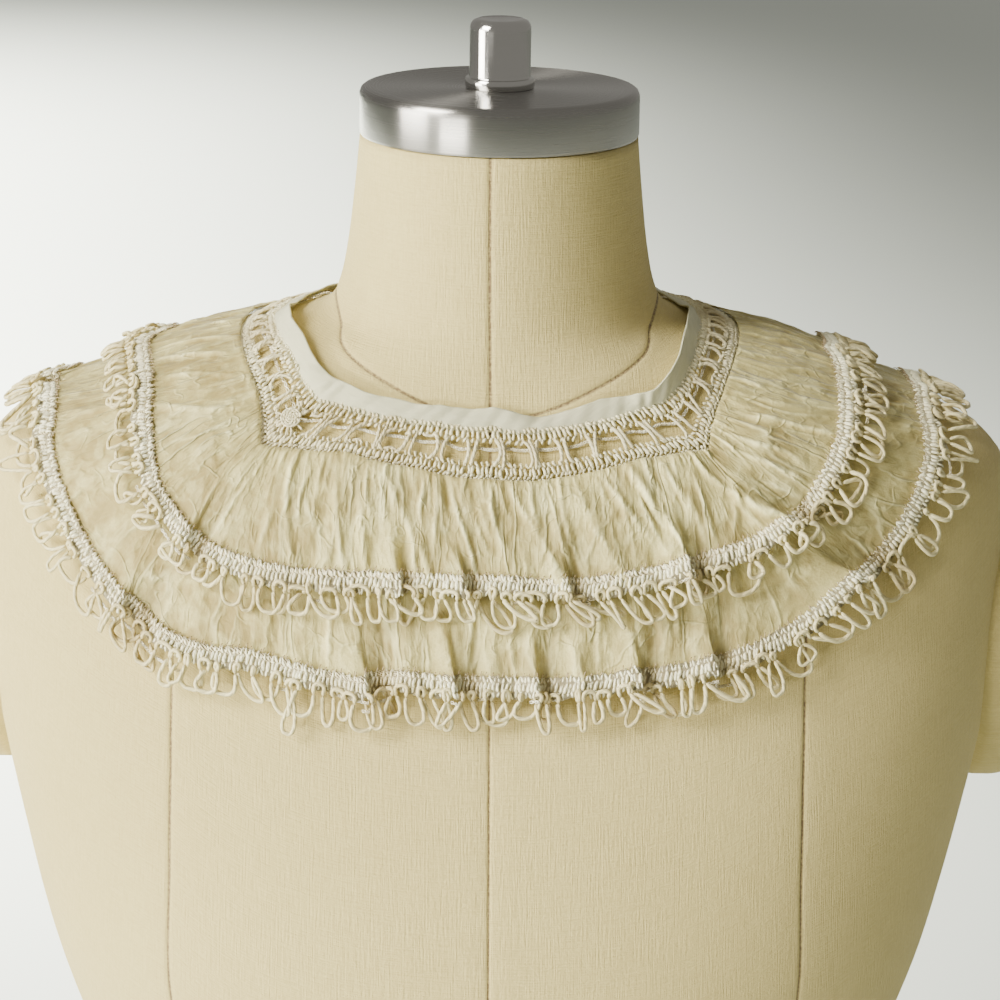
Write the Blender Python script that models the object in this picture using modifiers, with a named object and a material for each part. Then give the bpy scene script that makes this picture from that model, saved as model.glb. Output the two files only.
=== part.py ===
"""Two-tier lace collar lying on a limbless dress form.

Metres, +Z up. The origin is the centre of the form's flat underside, and the form faces -Y.
Both the form and the collar are described on one smooth surface: a point of it has a plan
angle (0 at centre front, 90 at the +X side, 180 at centre back) and a distance, measured down
over the surface from the seam at the root of the neck. Every cloth piece is a sheet of such
points, raised off the form by its own lift.
"""

from typing import NamedTuple

import bmesh
import bpy
import numpy as np
from mathutils import Vector

# ---------------------------------------------------------------- driving dimensions

NECK_POINT = 0.572          # height of the side neck point above the underside
NECK_TOP = NECK_POINT + 0.0617
SEAM_GAP = 0.0003           # left between pieces that are sewn to each other

CAP_RADIUS = 0.0503
CAP_HEIGHT = 0.017
CAP_RIM = 0.0032            # the cap's top edge is rounded over this much
POST_RADIUS = 0.011
POST_HEIGHT = 0.024
POST_RIM = 0.003
POST_FOOT_RADIUS = 0.0125   # the wider ring at the foot of the post
POST_FOOT_HEIGHT = 0.004

CHIFFON = 0.0010            # thickness of the walls
BINDING = 0.0012
CROCHET = 0.0016
HEADING = 0.0085            # width of the crochet heading on each hem
BACK_EDGE = 179.4           # angle of the two edges of the centre back opening

RAIL_SHARE = 0.28           # share of the insertion's width that each dense rail takes
HOLE_SHARE = 0.62           # share of the pitch that a hole takes
MITRE_GAP = 0.12            # half the gap between two lengths of insertion, degrees
LOOP_WIDTH = 0.0088
LOOP_LENGTH = 0.0105
THREAD = 0.0015
FOOT = 0.0017               # width of the heading that each leg of a loop grows from

# Horizontal sections of the form: each is a superellipse, one half width, a depth to the front
# and to the back of the axis, and a power (2 is an ellipse, more is squarer).
#            drop,  half_width, front, back, power
SECTIONS = ((-.065, .0497, .0497, .0497, 2.00),
            (-.045, .0515, .0508, .0525, 2.00),
            (-.020, .0545, .0520, .0562, 2.00),
            (-.006, .0578, .0528, .0606, 2.00),
            (0.002, .0635, .0535, .0655, 2.00),
            (0.008, .0800, .0543, .0702, 2.05),
            (0.018, .1090, .0563, .0760, 2.10),
            (0.029, .1400, .0610, .0810, 2.15),
            (0.038, .1650, .0665, .0850, 2.20),
            (0.046, .1800, .0708, .0880, 2.20),
            (0.056, .1870, .0752, .0910, 2.25),
            (0.080, .1890, .0842, .0960, 2.30),
            (0.110, .1880, .0940, .1012, 2.35),
            (0.145, .1840, .1042, .1042, 2.40),
            (0.181, .1770, .1130, .1040, 2.40),
            (0.232, .1650, .1215, .0990, 2.40),
            (0.300, .1430, .1110, .0880, 2.30),
            (0.395, .1200, .0900, .0740, 2.20),
            (0.480, .1450, .1020, .1000, 2.20),
            (0.572, .1640, .1120, .1140, 2.20))

# Seams of the collar, which lies a little further down the form on its left as you face it.
# Each row is one line down the collar, numbered by about its angle round the form; the back
# repeats the front. A row has the plan angle of that line at the neck, at the insertion's outer
# edge and at the lower hem, and the distance below the neck seam of each seam on it.
#         line, neck, insertion, hem, neck_edge, binding, insertion, upper_hem, lower_hem
SEAMS = ((-90, -90.0, -90.0, -90., 0.0160, .0262, .0383, .0800, .1175),
         (-76, -72.0, -75.0, -83., 0.0155, .0240, .0385, .0785, .1150),
         (-64, -55.0, -60.0, -73., 0.0093, .0193, .0386, .0861, .1235),
         (-61, -51.0, -55.5, -66., 0.0087, .0187, .0418, .0925, .1300),
         (-58, -47.8, -52.8, -58., 0.0085, .0196, .0470, .0920, .1285),
         (-52, -43.5, -48.0, -43., 0.0068, .0163, .0403, .0852, .1143),
         (-38, -33.0, -38.0, -30., 0.0038, .0122, .0303, .0762, .1085),
         (-20, -17.5, -20.0, -15., -.0022, .0056, .0240, .0655, .0990),
         (0.0, 0.0, 0.0, 0.0, -.0040, .0036, .0223, .0622, .0970),
         (20., 17.5, 20.0, 15., 0.0010, .0072, .0260, .0672, .1003),
         (38., 33.5, 38.0, 30., 0.0033, .0124, .0310, .0734, .1060),
         (52., 42.5, 47.5, 43., 0.0075, .0148, .0380, .0785, .1128),
         (58., 46.8, 50.8, 58., 0.0103, .0168, .0425, .0845, .1190),
         (61., 50.5, 53.2, 66., 0.0098, .0175, .0383, .0880, .1232),
         (64., 54.0, 57.0, 73., 0.0095, .0182, .0356, .0865, .1190),
         (76., 67.0, 71.0, 83., 0.0110, .0187, .0340, .0788, .1095),
         (90., 90.0, 90.0, 90., 0.0105, .0180, .0336, .0720, .1073))
NECK_EDGE, BINDING_SEAM, INSERTION_SEAM, UPPER_HEM, LOWER_HEM = range(4, 9)
CORNER = 58.0               # line of the mitred corners

INSERTION_LIFT = 0.0012     # of the inner face, off the form
BINDING_LIFT = 0.0010
BINDING_FLARE = 0.0040      # how far the neck edge stands off beside the neck

# Broad ruffles of each hem: angle at the insertion, half width in degrees, height.
#                 angle, half_width, height
UPPER_RUFFLES = ((-112, 5, .0016), (-84, 6, .0018), (-57, 3, .0014), (-44, 4, .0012),
                 (-21, 4, .0016), (-5, 4, .0020), (17, 5, .0016), (36, 4, .0018),
                 (60, 3, .0034), (83, 6, .0016), (109, 5, .0018), (133, 6, .0016),
                 (162, 6, .0018), (-137, 6, .0018), (-164, 5, .0014))
LOWER_RUFFLES = ((-117, 4, .0026), (-88, 5, .0022), (-60, 3, .0026), (-52, 3, .0020),
                 (-33, 4, .0024), (-14, 4, .0030), (4, 4, .0026), (20, 4, .0032),
                 (38, 4, .0026), (55, 3, .0034), (62, 3, .0026), (88, 5, .0024),
                 (115, 4, .0026), (139, 5, .0022), (163, 5, .0028), (-143, 6, .0026),
                 (-168, 5, .0022))



class Tier(NamedTuple):
    """One gathered flounce and the crochet trim on its hem."""

    name: str
    hem: int                # column of SEAMS
    gathers: int
    rows: int               # lines of points from the insertion to the hem
    lift: tuple             # of the inner face off the form, at the insertion and at the hem
    depth: tuple            # of the gathers, at the insertion and at the hem
    ruffles: tuple
    ruffled_from: float     # share of the way down where the hem's ruffles begin
    loops: int
    seed: int


TIERS = (Tier("upper", UPPER_HEM, 76, 4, (.0023, .0040), (.0004, .0017), UPPER_RUFFLES, 0.2, 58, 3),
         Tier("lower", LOWER_HEM, 58, 5, (.0008, .0008), (.0002, .0014), LOWER_RUFFLES, 0.7, 70, 5))

LINEN = (0.73, 0.61, 0.43)
STEEL = (0.56, 0.55, 0.54)
CHROME = (0.72, 0.71, 0.70)
VOILE = (0.77, 0.76, 0.70)
CREAM_SILK = (0.76, 0.66, 0.47)
CREAM_COTTON = (0.84, 0.79, 0.68)


# ---------------------------------------------------------------- the form's surface

def smooth(x, xs, ys):
    """Monotone cubic curve through the points (xs, ys), read at x."""
    steps = np.diff(xs)
    slopes = np.diff(ys) / steps
    tangents = np.zeros(len(xs))
    tangents[0] = slopes[0]
    tangents[-1] = slopes[-1]
    for i in range(1, len(xs) - 1):
        if slopes[i - 1] * slopes[i] > 0:
            before = 2 * steps[i] + steps[i - 1]
            after = steps[i] + 2 * steps[i - 1]
            tangents[i] = (before + after) / (before / slopes[i - 1] + after / slopes[i])
    x = np.clip(x, xs[0], xs[-1])
    i = np.clip(np.searchsorted(xs, x) - 1, 0, len(xs) - 2)
    u = (x - xs[i]) / steps[i]
    return ((1 + 2 * u) * (1 - u) ** 2 * ys[i] + u * (1 - u) ** 2 * steps[i] * tangents[i]
            + u * u * (3 - 2 * u) * ys[i + 1] + u * u * (u - 1) * steps[i] * tangents[i + 1])


def section_radius(angle, drop):
    """Distance of the form's surface from its axis, at a plan angle in radians."""
    drops, *columns = np.array(SECTIONS).T
    half_width, front, back, power = (smooth(drop, drops, column) for column in columns)
    depth = np.where(np.cos(angle) > 0, front, back)
    across = np.abs(np.sin(angle)) / half_width
    along = np.abs(np.cos(angle)) / depth
    return (across ** power + along ** power) ** (-1 / power)


def form_point(angle, drop):
    """Point of the form at a plan angle in radians and a drop below the side neck point."""
    radius = section_radius(angle, drop)
    return np.stack([radius * np.sin(angle), -radius * np.cos(angle), NECK_POINT - drop + 0 * radius], -1)


def neck_seam_drop(angle):
    """The seam at the root of the neck dips to the front."""
    forward = np.cos(angle)
    return np.where(forward > 0, 0.0325 * forward ** 2, -0.004 * forward ** 2) - 0.004


class Contours:
    """Drop of the surface for each plan angle and distance from the neck seam, tabulated once."""

    ABOVE_SEAM = 0.012
    LENGTH = 0.16

    def __init__(self):
        self.angles = np.radians(np.arange(0, 181, 1.0))
        self.distances = np.linspace(-self.ABOVE_SEAM, self.LENGTH, 345)
        rows = []
        for angle in self.angles:
            seam = float(neck_seam_drop(angle))
            drops = np.linspace(seam - self.ABOVE_SEAM, 0.20, 800)
            points = form_point(angle + 0 * drops, drops)
            run = np.concatenate([[0], np.cumsum(np.linalg.norm(np.diff(points, axis=0), axis=1))])
            run -= np.interp(seam, drops, run)
            rows.append(np.interp(self.distances, run, drops))
        self.drops = np.array(rows)

    def drop(self, angle, distance):
        wrapped = np.abs((angle + np.pi) % (2 * np.pi) - np.pi)
        column = np.clip(wrapped / self.angles[1], 0, len(self.angles) - 1.001)
        row = (distance - self.distances[0]) / (self.distances[1] - self.distances[0])
        row = np.clip(row, 0, len(self.distances) - 1.001)
        i = column.astype(int)
        j = row.astype(int)
        u = column - i
        v = row - j
        return ((1 - u) * ((1 - v) * self.drops[i, j] + v * self.drops[i, j + 1])
                + u * ((1 - v) * self.drops[i + 1, j] + v * self.drops[i + 1, j + 1]))


CONTOURS = Contours()


def surface_point(angle, distance):
    return form_point(angle, CONTOURS.drop(angle, distance))


def raised_point(angle, distance, lift):
    """Point above the surface, along its outward normal."""
    turn = np.radians(0.5)
    step = 0.001
    across = surface_point(angle + turn, distance) - surface_point(angle - turn, distance)
    down = surface_point(angle, distance + step) - surface_point(angle, distance - step)
    normal = np.cross(down, across)
    normal /= np.linalg.norm(normal, axis=-1, keepdims=True)
    return surface_point(angle, distance) + normal * np.asarray(lift)[..., None]


# ---------------------------------------------------------------- the collar's own lines

def seam_row(t):
    """Where a line is read in SEAMS: behind the shoulder the rows of its side repeat."""
    return np.sign(t) * np.minimum(np.abs(t), 180 - np.abs(t))


def seam(t, column):
    """Distance of a seam below the neck seam; t numbers the lines down the collar, 0 at the front."""
    table = np.array(SEAMS).T
    read = smooth if column in (UPPER_HEM, LOWER_HEM) else np.interp
    return read(seam_row(t), table[0], table[column])


def plan_angle(t, distance):
    """The lines down the collar run straight from the neck to the insertion, then to the hem."""
    table = np.array(SEAMS).T
    angles = [read(seam_row(t), table[0], table[column])
              for column, read in enumerate((np.interp, np.interp, smooth), 1)]
    at_neck, at_insertion, at_hem = (np.where(np.abs(t) > 90, np.sign(t) * 180 - angle, angle)
                                     for angle in angles)
    neck, insertion, hem = (seam(t, column) for column in (NECK_EDGE, INSERTION_SEAM, LOWER_HEM))
    above = np.clip((distance - neck) / (insertion - neck), 0, 1)
    below = np.maximum((distance - insertion) / (hem - insertion), 0)
    degrees = at_neck + (at_insertion - at_neck) * above + (at_hem - at_insertion) * below
    return np.radians(degrees)


def collar_point(t, distance, lift):
    return raised_point(plan_angle(t, distance), distance, lift)


def ruffles(t, table):
    """Sum of the soft raised ruffles of a hem."""
    angle, half_width, height = (column[:, None] for column in np.array(table).T)
    return (height * np.exp(-((t - angle) / half_width) ** 2)).sum(axis=0)


def spread(count, columns, t_from, t_to):
    """count + 1 values of t, evenly spaced along the mean of the seams in columns, one at each corner."""
    t = np.linspace(t_from, t_to, 1500)
    run = np.zeros(len(t))
    for column in columns:
        points = collar_point(t, seam(t, column), 0 * t)
        steps = np.linalg.norm(np.diff(points, axis=0), axis=1)
        run[1:] += np.cumsum(steps) / steps.sum()
    values = np.interp(np.linspace(0, run[-1], count + 1), run, t)
    for corner in (CORNER - 180, -CORNER, CORNER, 180 - CORNER):
        if t_from < corner < t_to:
            values[np.argmin(np.abs(values - corner))] = corner
    return values


# ---------------------------------------------------------------- making objects

def new_collection(name):
    collection = bpy.data.collections.new(name)
    bpy.context.scene.collection.children.link(collection)
    return collection


def principled(name, color, roughness, metallic=0.0):
    material = bpy.data.materials.new(name)
    material.use_nodes = True
    shader = material.node_tree.nodes["Principled BSDF"]
    shader.inputs["Base Color"].default_value = (*color, 1)
    shader.inputs["Roughness"].default_value = roughness
    shader.inputs["Metallic"].default_value = metallic
    return material


def new_object(name, bm, material, collection):
    mesh = bpy.data.meshes.new(name)
    bm.to_mesh(mesh)
    bm.free()
    mesh.shade_smooth()
    mesh.set_sharp_from_angle(angle=np.radians(50))
    if material:
        mesh.materials.append(material)
    obj = bpy.data.objects.new(name, mesh)
    collection.objects.link(obj)
    return obj


def grid(points):
    """A bmesh grid of quads on an array of points [row, column], rows running upwards."""
    rows, columns = points.shape[:2]
    bm = bmesh.new()
    bmesh.ops.create_grid(bm, x_segments=columns - 1, y_segments=rows - 1, size=1)
    bm.verts.ensure_lookup_table()
    for vert, point in zip(bm.verts, points.reshape(-1, 3)):
        vert.co = point
    return bm


def tube(sections):
    """A tube through rings of points [section, corner], open at both ends, and its faces as quads."""
    corners = sections.shape[1]
    bm = grid(np.concatenate([sections, sections[:, :1]], axis=1))
    sides = [bm.faces[start:start + corners] for start in range(0, len(bm.faces), corners)]
    bmesh.ops.remove_doubles(bm, verts=bm.verts, dist=1e-6)
    return bm, sides


def close_ends(bm):
    rims = [edge for edge in bm.edges if edge.is_boundary]
    bmesh.ops.holes_fill(bm, edges=rims, sides=0)
    bmesh.ops.recalc_face_normals(bm, faces=bm.faces)


def loft(sections):
    """A closed solid through rings of points, with flat ends."""
    bm, _ = tube(sections)
    bmesh.ops.triangulate(bm, faces=bm.faces, quad_method="FIXED")
    close_ends(bm)
    return bm


def thicken(obj, thickness):
    """Give an open sheet its wall, outwards from its own points."""
    wall = obj.modifiers.new("Wall", "SOLIDIFY")
    wall.thickness = thickness
    wall.offset = 1


def turned(name, profile, segments, height, material, collection):
    """A turned solid from a profile of (radius, height) that runs down its outer side."""
    bm = bmesh.new()
    verts = [bm.verts.new((radius, 0, z)) for radius, z in profile]
    for upper, lower in zip(verts, verts[1:]):
        bm.edges.new((upper, lower))
    obj = new_object(name, bm, material, collection)
    obj.location.z = height
    screw = obj.modifiers.new("Turned", "SCREW")
    screw.steps = segments
    screw.render_steps = segments
    screw.use_merge_vertices = True
    screw.merge_threshold = 0.00001


# ---------------------------------------------------------------- dress form

TORSO_COLUMNS = 36
# Drops of the torso's rings, closest where the neck turns into the shoulder.
TORSO_RINGS = (.572, .526, .480, .437, .395, .347, .300, .266, .232, .205, .181, .145, .110, .080,
               .062, .050, .041, .032, .023, .014, .007, .003, -.001, -.006, -.020, -.040)


def torso_sections(outset):
    """Rings of the torso, its corners drawn together at the sides, moved outwards by outset."""
    turn = np.linspace(0, 2 * np.pi, TORSO_COLUMNS, endpoint=False)
    angles = np.arctan2(1.5 * np.sin(turn), np.cos(turn))
    drops = np.array((*TORSO_RINGS, NECK_POINT - NECK_TOP))[:, None]
    rings = form_point(angles[None], drops + 0 * angles[None])
    outward = np.stack([np.sin(angles), -np.cos(angles), 0 * angles], -1)
    return rings + outset * outward[None]


#                reach, top_drop, bottom_drop, half_depth
ARM_STATIONS = ((.150, .058, .181, .050),
                (.188, .062, .181, .046),
                (.199, .071, .178, .039),
                (.206, .088, .168, .026))
ARM_CORNERS = 16
ARM_BEHIND = 0.012          # the stub's axis lies this far behind the form's
ARMHOLE_GAP = 0.0005


def build_arm(name, side, cutter, linen, collection):
    """A short covered stub that fills the armhole, cut to the torso's own surface."""
    turn = np.linspace(0, 2 * np.pi, ARM_CORNERS, endpoint=False)
    sections = []
    for reach, top, bottom, half_depth in ARM_STATIONS:
        middle = NECK_POINT - (top + bottom) / 2
        y = ARM_BEHIND + half_depth * np.cos(turn)
        z = middle + (bottom - top) / 2 * np.sin(turn)
        sections.append(np.stack([side * reach + 0 * y, y, z], -1))
    arm = new_object(name, loft(np.array(sections)), linen, collection)
    cut = arm.modifiers.new("Armhole", "BOOLEAN")
    cut.operation = "DIFFERENCE"
    cut.solver = "EXACT"
    cut.object = cutter


def build_cap_and_post(collection):
    """The steel cap that closes the neck, and the stepped post on it."""
    cap = ((0, CAP_HEIGHT),
           (CAP_RADIUS - 1.4 * CAP_RIM, CAP_HEIGHT),
           (CAP_RADIUS - 0.4 * CAP_RIM, CAP_HEIGHT - 0.3 * CAP_RIM),
           (CAP_RADIUS, CAP_HEIGHT - 1.2 * CAP_RIM),
           (CAP_RADIUS, 0),
           (0, 0))
    post = ((0, POST_HEIGHT),
            (POST_RADIUS - POST_RIM, POST_HEIGHT),
            (POST_RADIUS, POST_HEIGHT - POST_RIM),
            (POST_RADIUS, POST_FOOT_HEIGHT),
            (POST_FOOT_RADIUS, 0.8 * POST_FOOT_HEIGHT),
            (POST_FOOT_RADIUS, 0),
            (0, 0))
    cap_base = NECK_TOP + SEAM_GAP
    post_base = cap_base + CAP_HEIGHT + SEAM_GAP
    turned("form_neck_cap", cap, 36, cap_base, principled("Brushed steel", STEEL, 0.3, 1), collection)
    turned("form_neck_post", post, 20, post_base, principled("Chrome", CHROME, 0.12, 1), collection)


def build_form(collection, cutters):
    linen = principled("Linen", LINEN, 0.85)
    new_object("form_torso", loft(torso_sections(0)), linen, collection)
    cutter = new_object("armhole_cutter", loft(torso_sections(ARMHOLE_GAP)), None, cutters)
    cutter.hide_render = True
    cutter.display_type = "WIRE"
    build_arm("form_arm_left", -1, cutter, linen, collection)
    build_arm("form_arm_right", 1, cutter, linen, collection)
    build_cap_and_post(collection)


# ---------------------------------------------------------------- collar

def sheet(name, t, distances, lifts, thickness, material, collection):
    """A cloth wall on the collar's lines t: rows of distances and lifts, from the hem upwards."""
    points = np.array([collar_point(t, distance, lift) for distance, lift in zip(distances, lifts)])
    thicken(new_object(name, grid(points), material, collection), thickness)


def build_binding(collection):
    """Folded strip round the neck; its free edge stands away beside the neck."""
    t = spread(48, (NECK_EDGE, BINDING_SEAM), -BACK_EDGE, BACK_EDGE)
    beside = np.sin(np.radians(np.abs(t))) ** 2
    top = seam(t, NECK_EDGE)
    bottom = seam(t, BINDING_SEAM) - 2 * SEAM_GAP
    shares = (1.0, 0.5, 0.0)
    distances = [top + share * (bottom - top) for share in shares]
    lifts = [BINDING_LIFT + BINDING_FLARE * beside * (1 - share) ** 1.5 for share in shares]
    sheet("neck_binding", t, distances, lifts, BINDING, principled("White voile", VOILE, 0.8), collection)


def insertion_strip(name, t_from, t_to, holes, material, collection):
    """One mitred length of insertion: two dense rails joined by bars between the open holes."""
    pitches = spread(holes, (BINDING_SEAM, INSERTION_SEAM), t_from, t_to)
    pitch = np.diff(pitches)
    start = pitches[:-1] + pitch * (1 - HOLE_SHARE) / 2
    t = np.sort(np.concatenate([[t_from, t_to], start, start + pitch * HOLE_SHARE]))
    top = seam(t, BINDING_SEAM) + 2 * SEAM_GAP
    bottom = seam(t, INSERTION_SEAM) - SEAM_GAP
    shares = (1.0, 1 - RAIL_SHARE, RAIL_SHARE, 0.0)
    lift = INSERTION_LIFT + 0 * t
    rows = np.array([collar_point(t, top + share * (bottom - top), lift) for share in shares])
    bm = grid(rows)
    columns = len(t) - 1
    middle_row = bm.faces[columns:2 * columns]
    bmesh.ops.delete(bm, geom=middle_row[1::2], context="FACES")
    thicken(new_object(name, bm, material, collection), CROCHET)


def build_insertion(cotton, collection):
    """The four sides of the square neckline, the back one open at its middle."""
    back = 180 - CORNER
    strips = (("insertion_front", -CORNER + MITRE_GAP, CORNER - MITRE_GAP, 13),
              ("insertion_left", -back + MITRE_GAP, -CORNER - MITRE_GAP, 13),
              ("insertion_right", CORNER + MITRE_GAP, back - MITRE_GAP, 13),
              ("insertion_back_left", -BACK_EDGE, -back - MITRE_GAP, 7),
              ("insertion_back_right", back + MITRE_GAP, BACK_EDGE, 7))
    for name, t_from, t_to, holes in strips:
        insertion_strip(name, t_from, t_to, holes, cotton, collection)


def build_tier(tier, silk, collection):
    """A flounce whose fine folds deepen from the insertion to the hem, uneven in depth and spacing."""
    rng = np.random.default_rng(tier.seed)
    t = spread(2 * tier.gathers, (INSERTION_SEAM, tier.hem), -BACK_EDGE, BACK_EDGE)
    t[1:-1] += rng.uniform(-0.18, 0.18, 2 * tier.gathers - 1) * np.diff(t)[:-1]
    crest = np.arange(len(t)) % 2 * rng.uniform(0.55, 1.0, len(t))
    top = seam(t, INSERTION_SEAM) + 1.5 * SEAM_GAP
    bottom = seam(t, tier.hem) - HEADING - 2 * SEAM_GAP
    distances = []
    lifts = []
    for share in np.linspace(1, 0, tier.rows):
        flat = np.interp(share, (0, 0.4), tier.lift)
        depth = np.interp(share, (0, 0.6), tier.depth)
        ruffled = max(0, (share - tier.ruffled_from) / (1 - tier.ruffled_from)) ** 2
        distances.append(top + share * (bottom - top))
        lifts.append(flat + depth * crest + ruffled * ruffles(t, tier.ruffles))
    sheet("tier_" + tier.name, t, distances, lifts, CHIFFON, silk, collection)


def degrees_per_metre(t, column):
    """Turn of t for each metre run along a seam."""
    turn = 0.2
    ends = [collar_point(t + side * turn, seam(t, column), 0 * t) for side in (-1, 1)]
    return 2 * turn / np.linalg.norm(ends[1] - ends[0], axis=-1)


# Corners of a heading's section: share of its width above the hem, and of its thickness.
HEADING_CORNERS = ((0, 0), (0, 1), (1, 1), (1, 0))
# A loop from foot to foot: sideways in loop widths, down in loop lengths.
LOOP_PATH = ((-0.50, 0.45), (-0.30, 0.95), (0.30, 0.95), (0.50, 0.45))
# Corners of the thread's three-sided section: sideways and outwards, in thread thicknesses.
THREAD_CORNERS = ((-0.5, 0.4), (0.5, 0.4), (0.0, -0.6))


def corner_at(face, point):
    return min(face.verts, key=lambda vert: (vert.co - Vector(point)).length)


def split_foot(bm, quad, cut, kept):
    """Split a quad between its corners at the points in cut; the half that holds kept is the foot."""
    ends = [corner_at(quad, point) for point in cut]
    kept_corner = corner_at(quad, kept)
    other = bmesh.utils.face_split(quad, *ends)[0]
    return quad if kept_corner in quad.verts[:] else other


def loop_rings(t, drop, lift):
    """Three-cornered rings of a thread along a path of angles, distances and lifts."""
    centres = collar_point(t, drop, lift)
    outward = collar_point(t, drop, lift + 0.001) - centres
    outward = (outward / np.linalg.norm(outward, axis=1, keepdims=True))[1:-1]
    side = np.cross(outward, centres[2:] - centres[:-2])
    side /= np.linalg.norm(side, axis=1, keepdims=True)
    return [[Vector(centre + THREAD * (x * across + z * out)) for x, z in THREAD_CORNERS]
            for centre, across, out in zip(centres[1:-1], side, outward)]


def grow_loop(bm, foot, landing, corners, rings):
    """Draw a thread out of one foot, ring by ring, and bridge it into the other foot."""
    face = foot
    for ring in rings:
        face = bmesh.ops.extrude_discrete_faces(bm, faces=[face])["faces"][0]
        verts = [corner_at(face, point) for point in corners]
        for vert, point in zip(verts, ring):
            vert.co = point
        corners = ring
    edges = [*face.edges, *landing.edges]
    bmesh.ops.delete(bm, geom=[face, landing], context="FACES_ONLY")
    bmesh.ops.bridge_loops(bm, edges=edges)


def loop_path(middle, tier, rng):
    """Angles, distances and lifts along one loop, each with its own size, lean and stand."""
    scale = float(degrees_per_metre(middle, tier.hem))
    sideways, down = np.array(LOOP_PATH).T
    down = down * LOOP_LENGTH * rng.uniform(0.8, 1.2)
    sideways = sideways * LOOP_WIDTH * rng.uniform(0.85, 1.1) + down * rng.uniform(-0.18, 0.18)
    sideways = np.array([-FOOT / 2, *sideways, FOOT / 2])
    down = np.array([0, *down, 0])
    t = middle + scale * sideways
    base = tier.lift[1] + CROCHET / 2 + ruffles(middle + 0 * t, tier.ruffles)
    lift = base + rng.uniform(0, 0.22) * down
    return t, seam(middle + 0 * t, tier.hem) + down, lift


def build_trim(tier, cotton, collection):
    """Crochet heading along a hem, with a fringe of loops that grow out of its lower edge."""
    rng = np.random.default_rng(tier.seed)
    middles = spread(2 * tier.loops, (tier.hem,), -BACK_EDGE, BACK_EDGE)[1::2]
    turn = degrees_per_metre(middles, tier.hem)
    lines = np.array([middles + turn * offset for offset in (-FOOT, 0, FOOT)]).T
    t = np.array([-BACK_EDGE, *lines.ravel(), BACK_EDGE])
    width = HEADING * np.array(HEADING_CORNERS)[:, :1]
    thickness = CROCHET * np.array(HEADING_CORNERS)[:, 1:]
    raised = tier.lift[1] + ruffles(t, tier.ruffles) + thickness
    sections = collar_point(t + 0 * width, seam(t, tier.hem) - width, raised).swapaxes(0, 1)
    bm, sides = tube(sections)
    for number, middle in enumerate(middles):
        first = 3 * number + 1
        inner = sections[first:first + 3, 0]
        outer = sections[first:first + 3, 1]
        foot = split_foot(bm, sides[first][0], (inner[0], outer[1]), outer[0])
        landing = split_foot(bm, sides[first + 1][0], (outer[1], inner[2]), outer[2])
        rings = loop_rings(*loop_path(middle, tier, rng))
        grow_loop(bm, foot, landing, (outer[0], outer[1], inner[0]), rings)
    close_ends(bm)
    new_object("trim_" + tier.name, bm, cotton, collection)


def build_collar(collection):
    cotton = principled("Cream cotton", CREAM_COTTON, 0.75)
    silk = principled("Cream silk chiffon", CREAM_SILK, 0.6)
    build_binding(collection)
    build_insertion(cotton, collection)
    for tier in TIERS:
        build_tier(tier, silk, collection)
        build_trim(tier, cotton, collection)


for old in list(bpy.data.objects):
    bpy.data.objects.remove(old, do_unlink=True)
model = new_collection("Lace collar on dress form")
cutters = new_collection("Cutters")
build_form(model, cutters)
build_collar(model)
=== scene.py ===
"""Two-tier lace collar on a linen dress form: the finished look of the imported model.

Metres, +Z up, the form facing -Y. A point of the collar has a line t in degrees (0 at centre
front, 90 over the +X shoulder, 180 at the back), a distance down over the form from the seam at
the root of the neck, and a lift off the form.
"""

from typing import NamedTuple

import bmesh
import bpy
import numpy as np
from mathutils import Matrix, Vector


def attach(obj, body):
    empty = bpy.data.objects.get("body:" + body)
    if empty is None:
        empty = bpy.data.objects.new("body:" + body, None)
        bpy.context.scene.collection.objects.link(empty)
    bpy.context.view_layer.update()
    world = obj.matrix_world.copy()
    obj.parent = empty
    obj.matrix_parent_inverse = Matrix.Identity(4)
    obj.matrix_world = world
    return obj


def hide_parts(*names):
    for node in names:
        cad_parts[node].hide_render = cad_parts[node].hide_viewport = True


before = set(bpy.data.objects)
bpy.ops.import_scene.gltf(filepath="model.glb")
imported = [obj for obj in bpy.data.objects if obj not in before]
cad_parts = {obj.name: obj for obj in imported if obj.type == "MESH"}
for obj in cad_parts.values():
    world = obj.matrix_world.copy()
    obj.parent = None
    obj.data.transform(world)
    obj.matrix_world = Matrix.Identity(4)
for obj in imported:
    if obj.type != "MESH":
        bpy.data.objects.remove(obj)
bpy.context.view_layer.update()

# ================================================================ torso
# A padded, limbless women's form covered in natural linen. The cover is cut in eight long
# panels and a neck piece, so a fine sunk seam runs down the front, the back and each side,
# along the princess lines and round the root of the neck.

NECK_POINT = 0.572
NECK_TOP = NECK_POINT + 0.0617
#            drop,  half_width, front, back, power
SECTIONS = ((-.065, .0497, .0497, .0497, 2.00),
            (-.045, .0515, .0508, .0525, 2.00),
            (-.020, .0545, .0520, .0562, 2.00),
            (-.006, .0578, .0528, .0606, 2.00),
            (0.002, .0635, .0535, .0655, 2.00),
            (0.008, .0800, .0543, .0702, 2.05),
            (0.018, .1090, .0563, .0760, 2.10),
            (0.029, .1400, .0610, .0810, 2.15),
            (0.038, .1650, .0665, .0850, 2.20),
            (0.046, .1800, .0708, .0880, 2.20),
            (0.056, .1870, .0752, .0910, 2.25),
            (0.080, .1890, .0842, .0960, 2.30),
            (0.110, .1880, .0940, .1012, 2.35),
            (0.145, .1840, .1042, .1042, 2.40),
            (0.181, .1770, .1130, .1040, 2.40),
            (0.232, .1650, .1215, .0990, 2.40),
            (0.300, .1430, .1110, .0880, 2.30),
            (0.395, .1200, .0900, .0740, 2.20),
            (0.480, .1450, .1020, .1000, 2.20),
            (0.572, .1640, .1120, .1140, 2.20))


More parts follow.
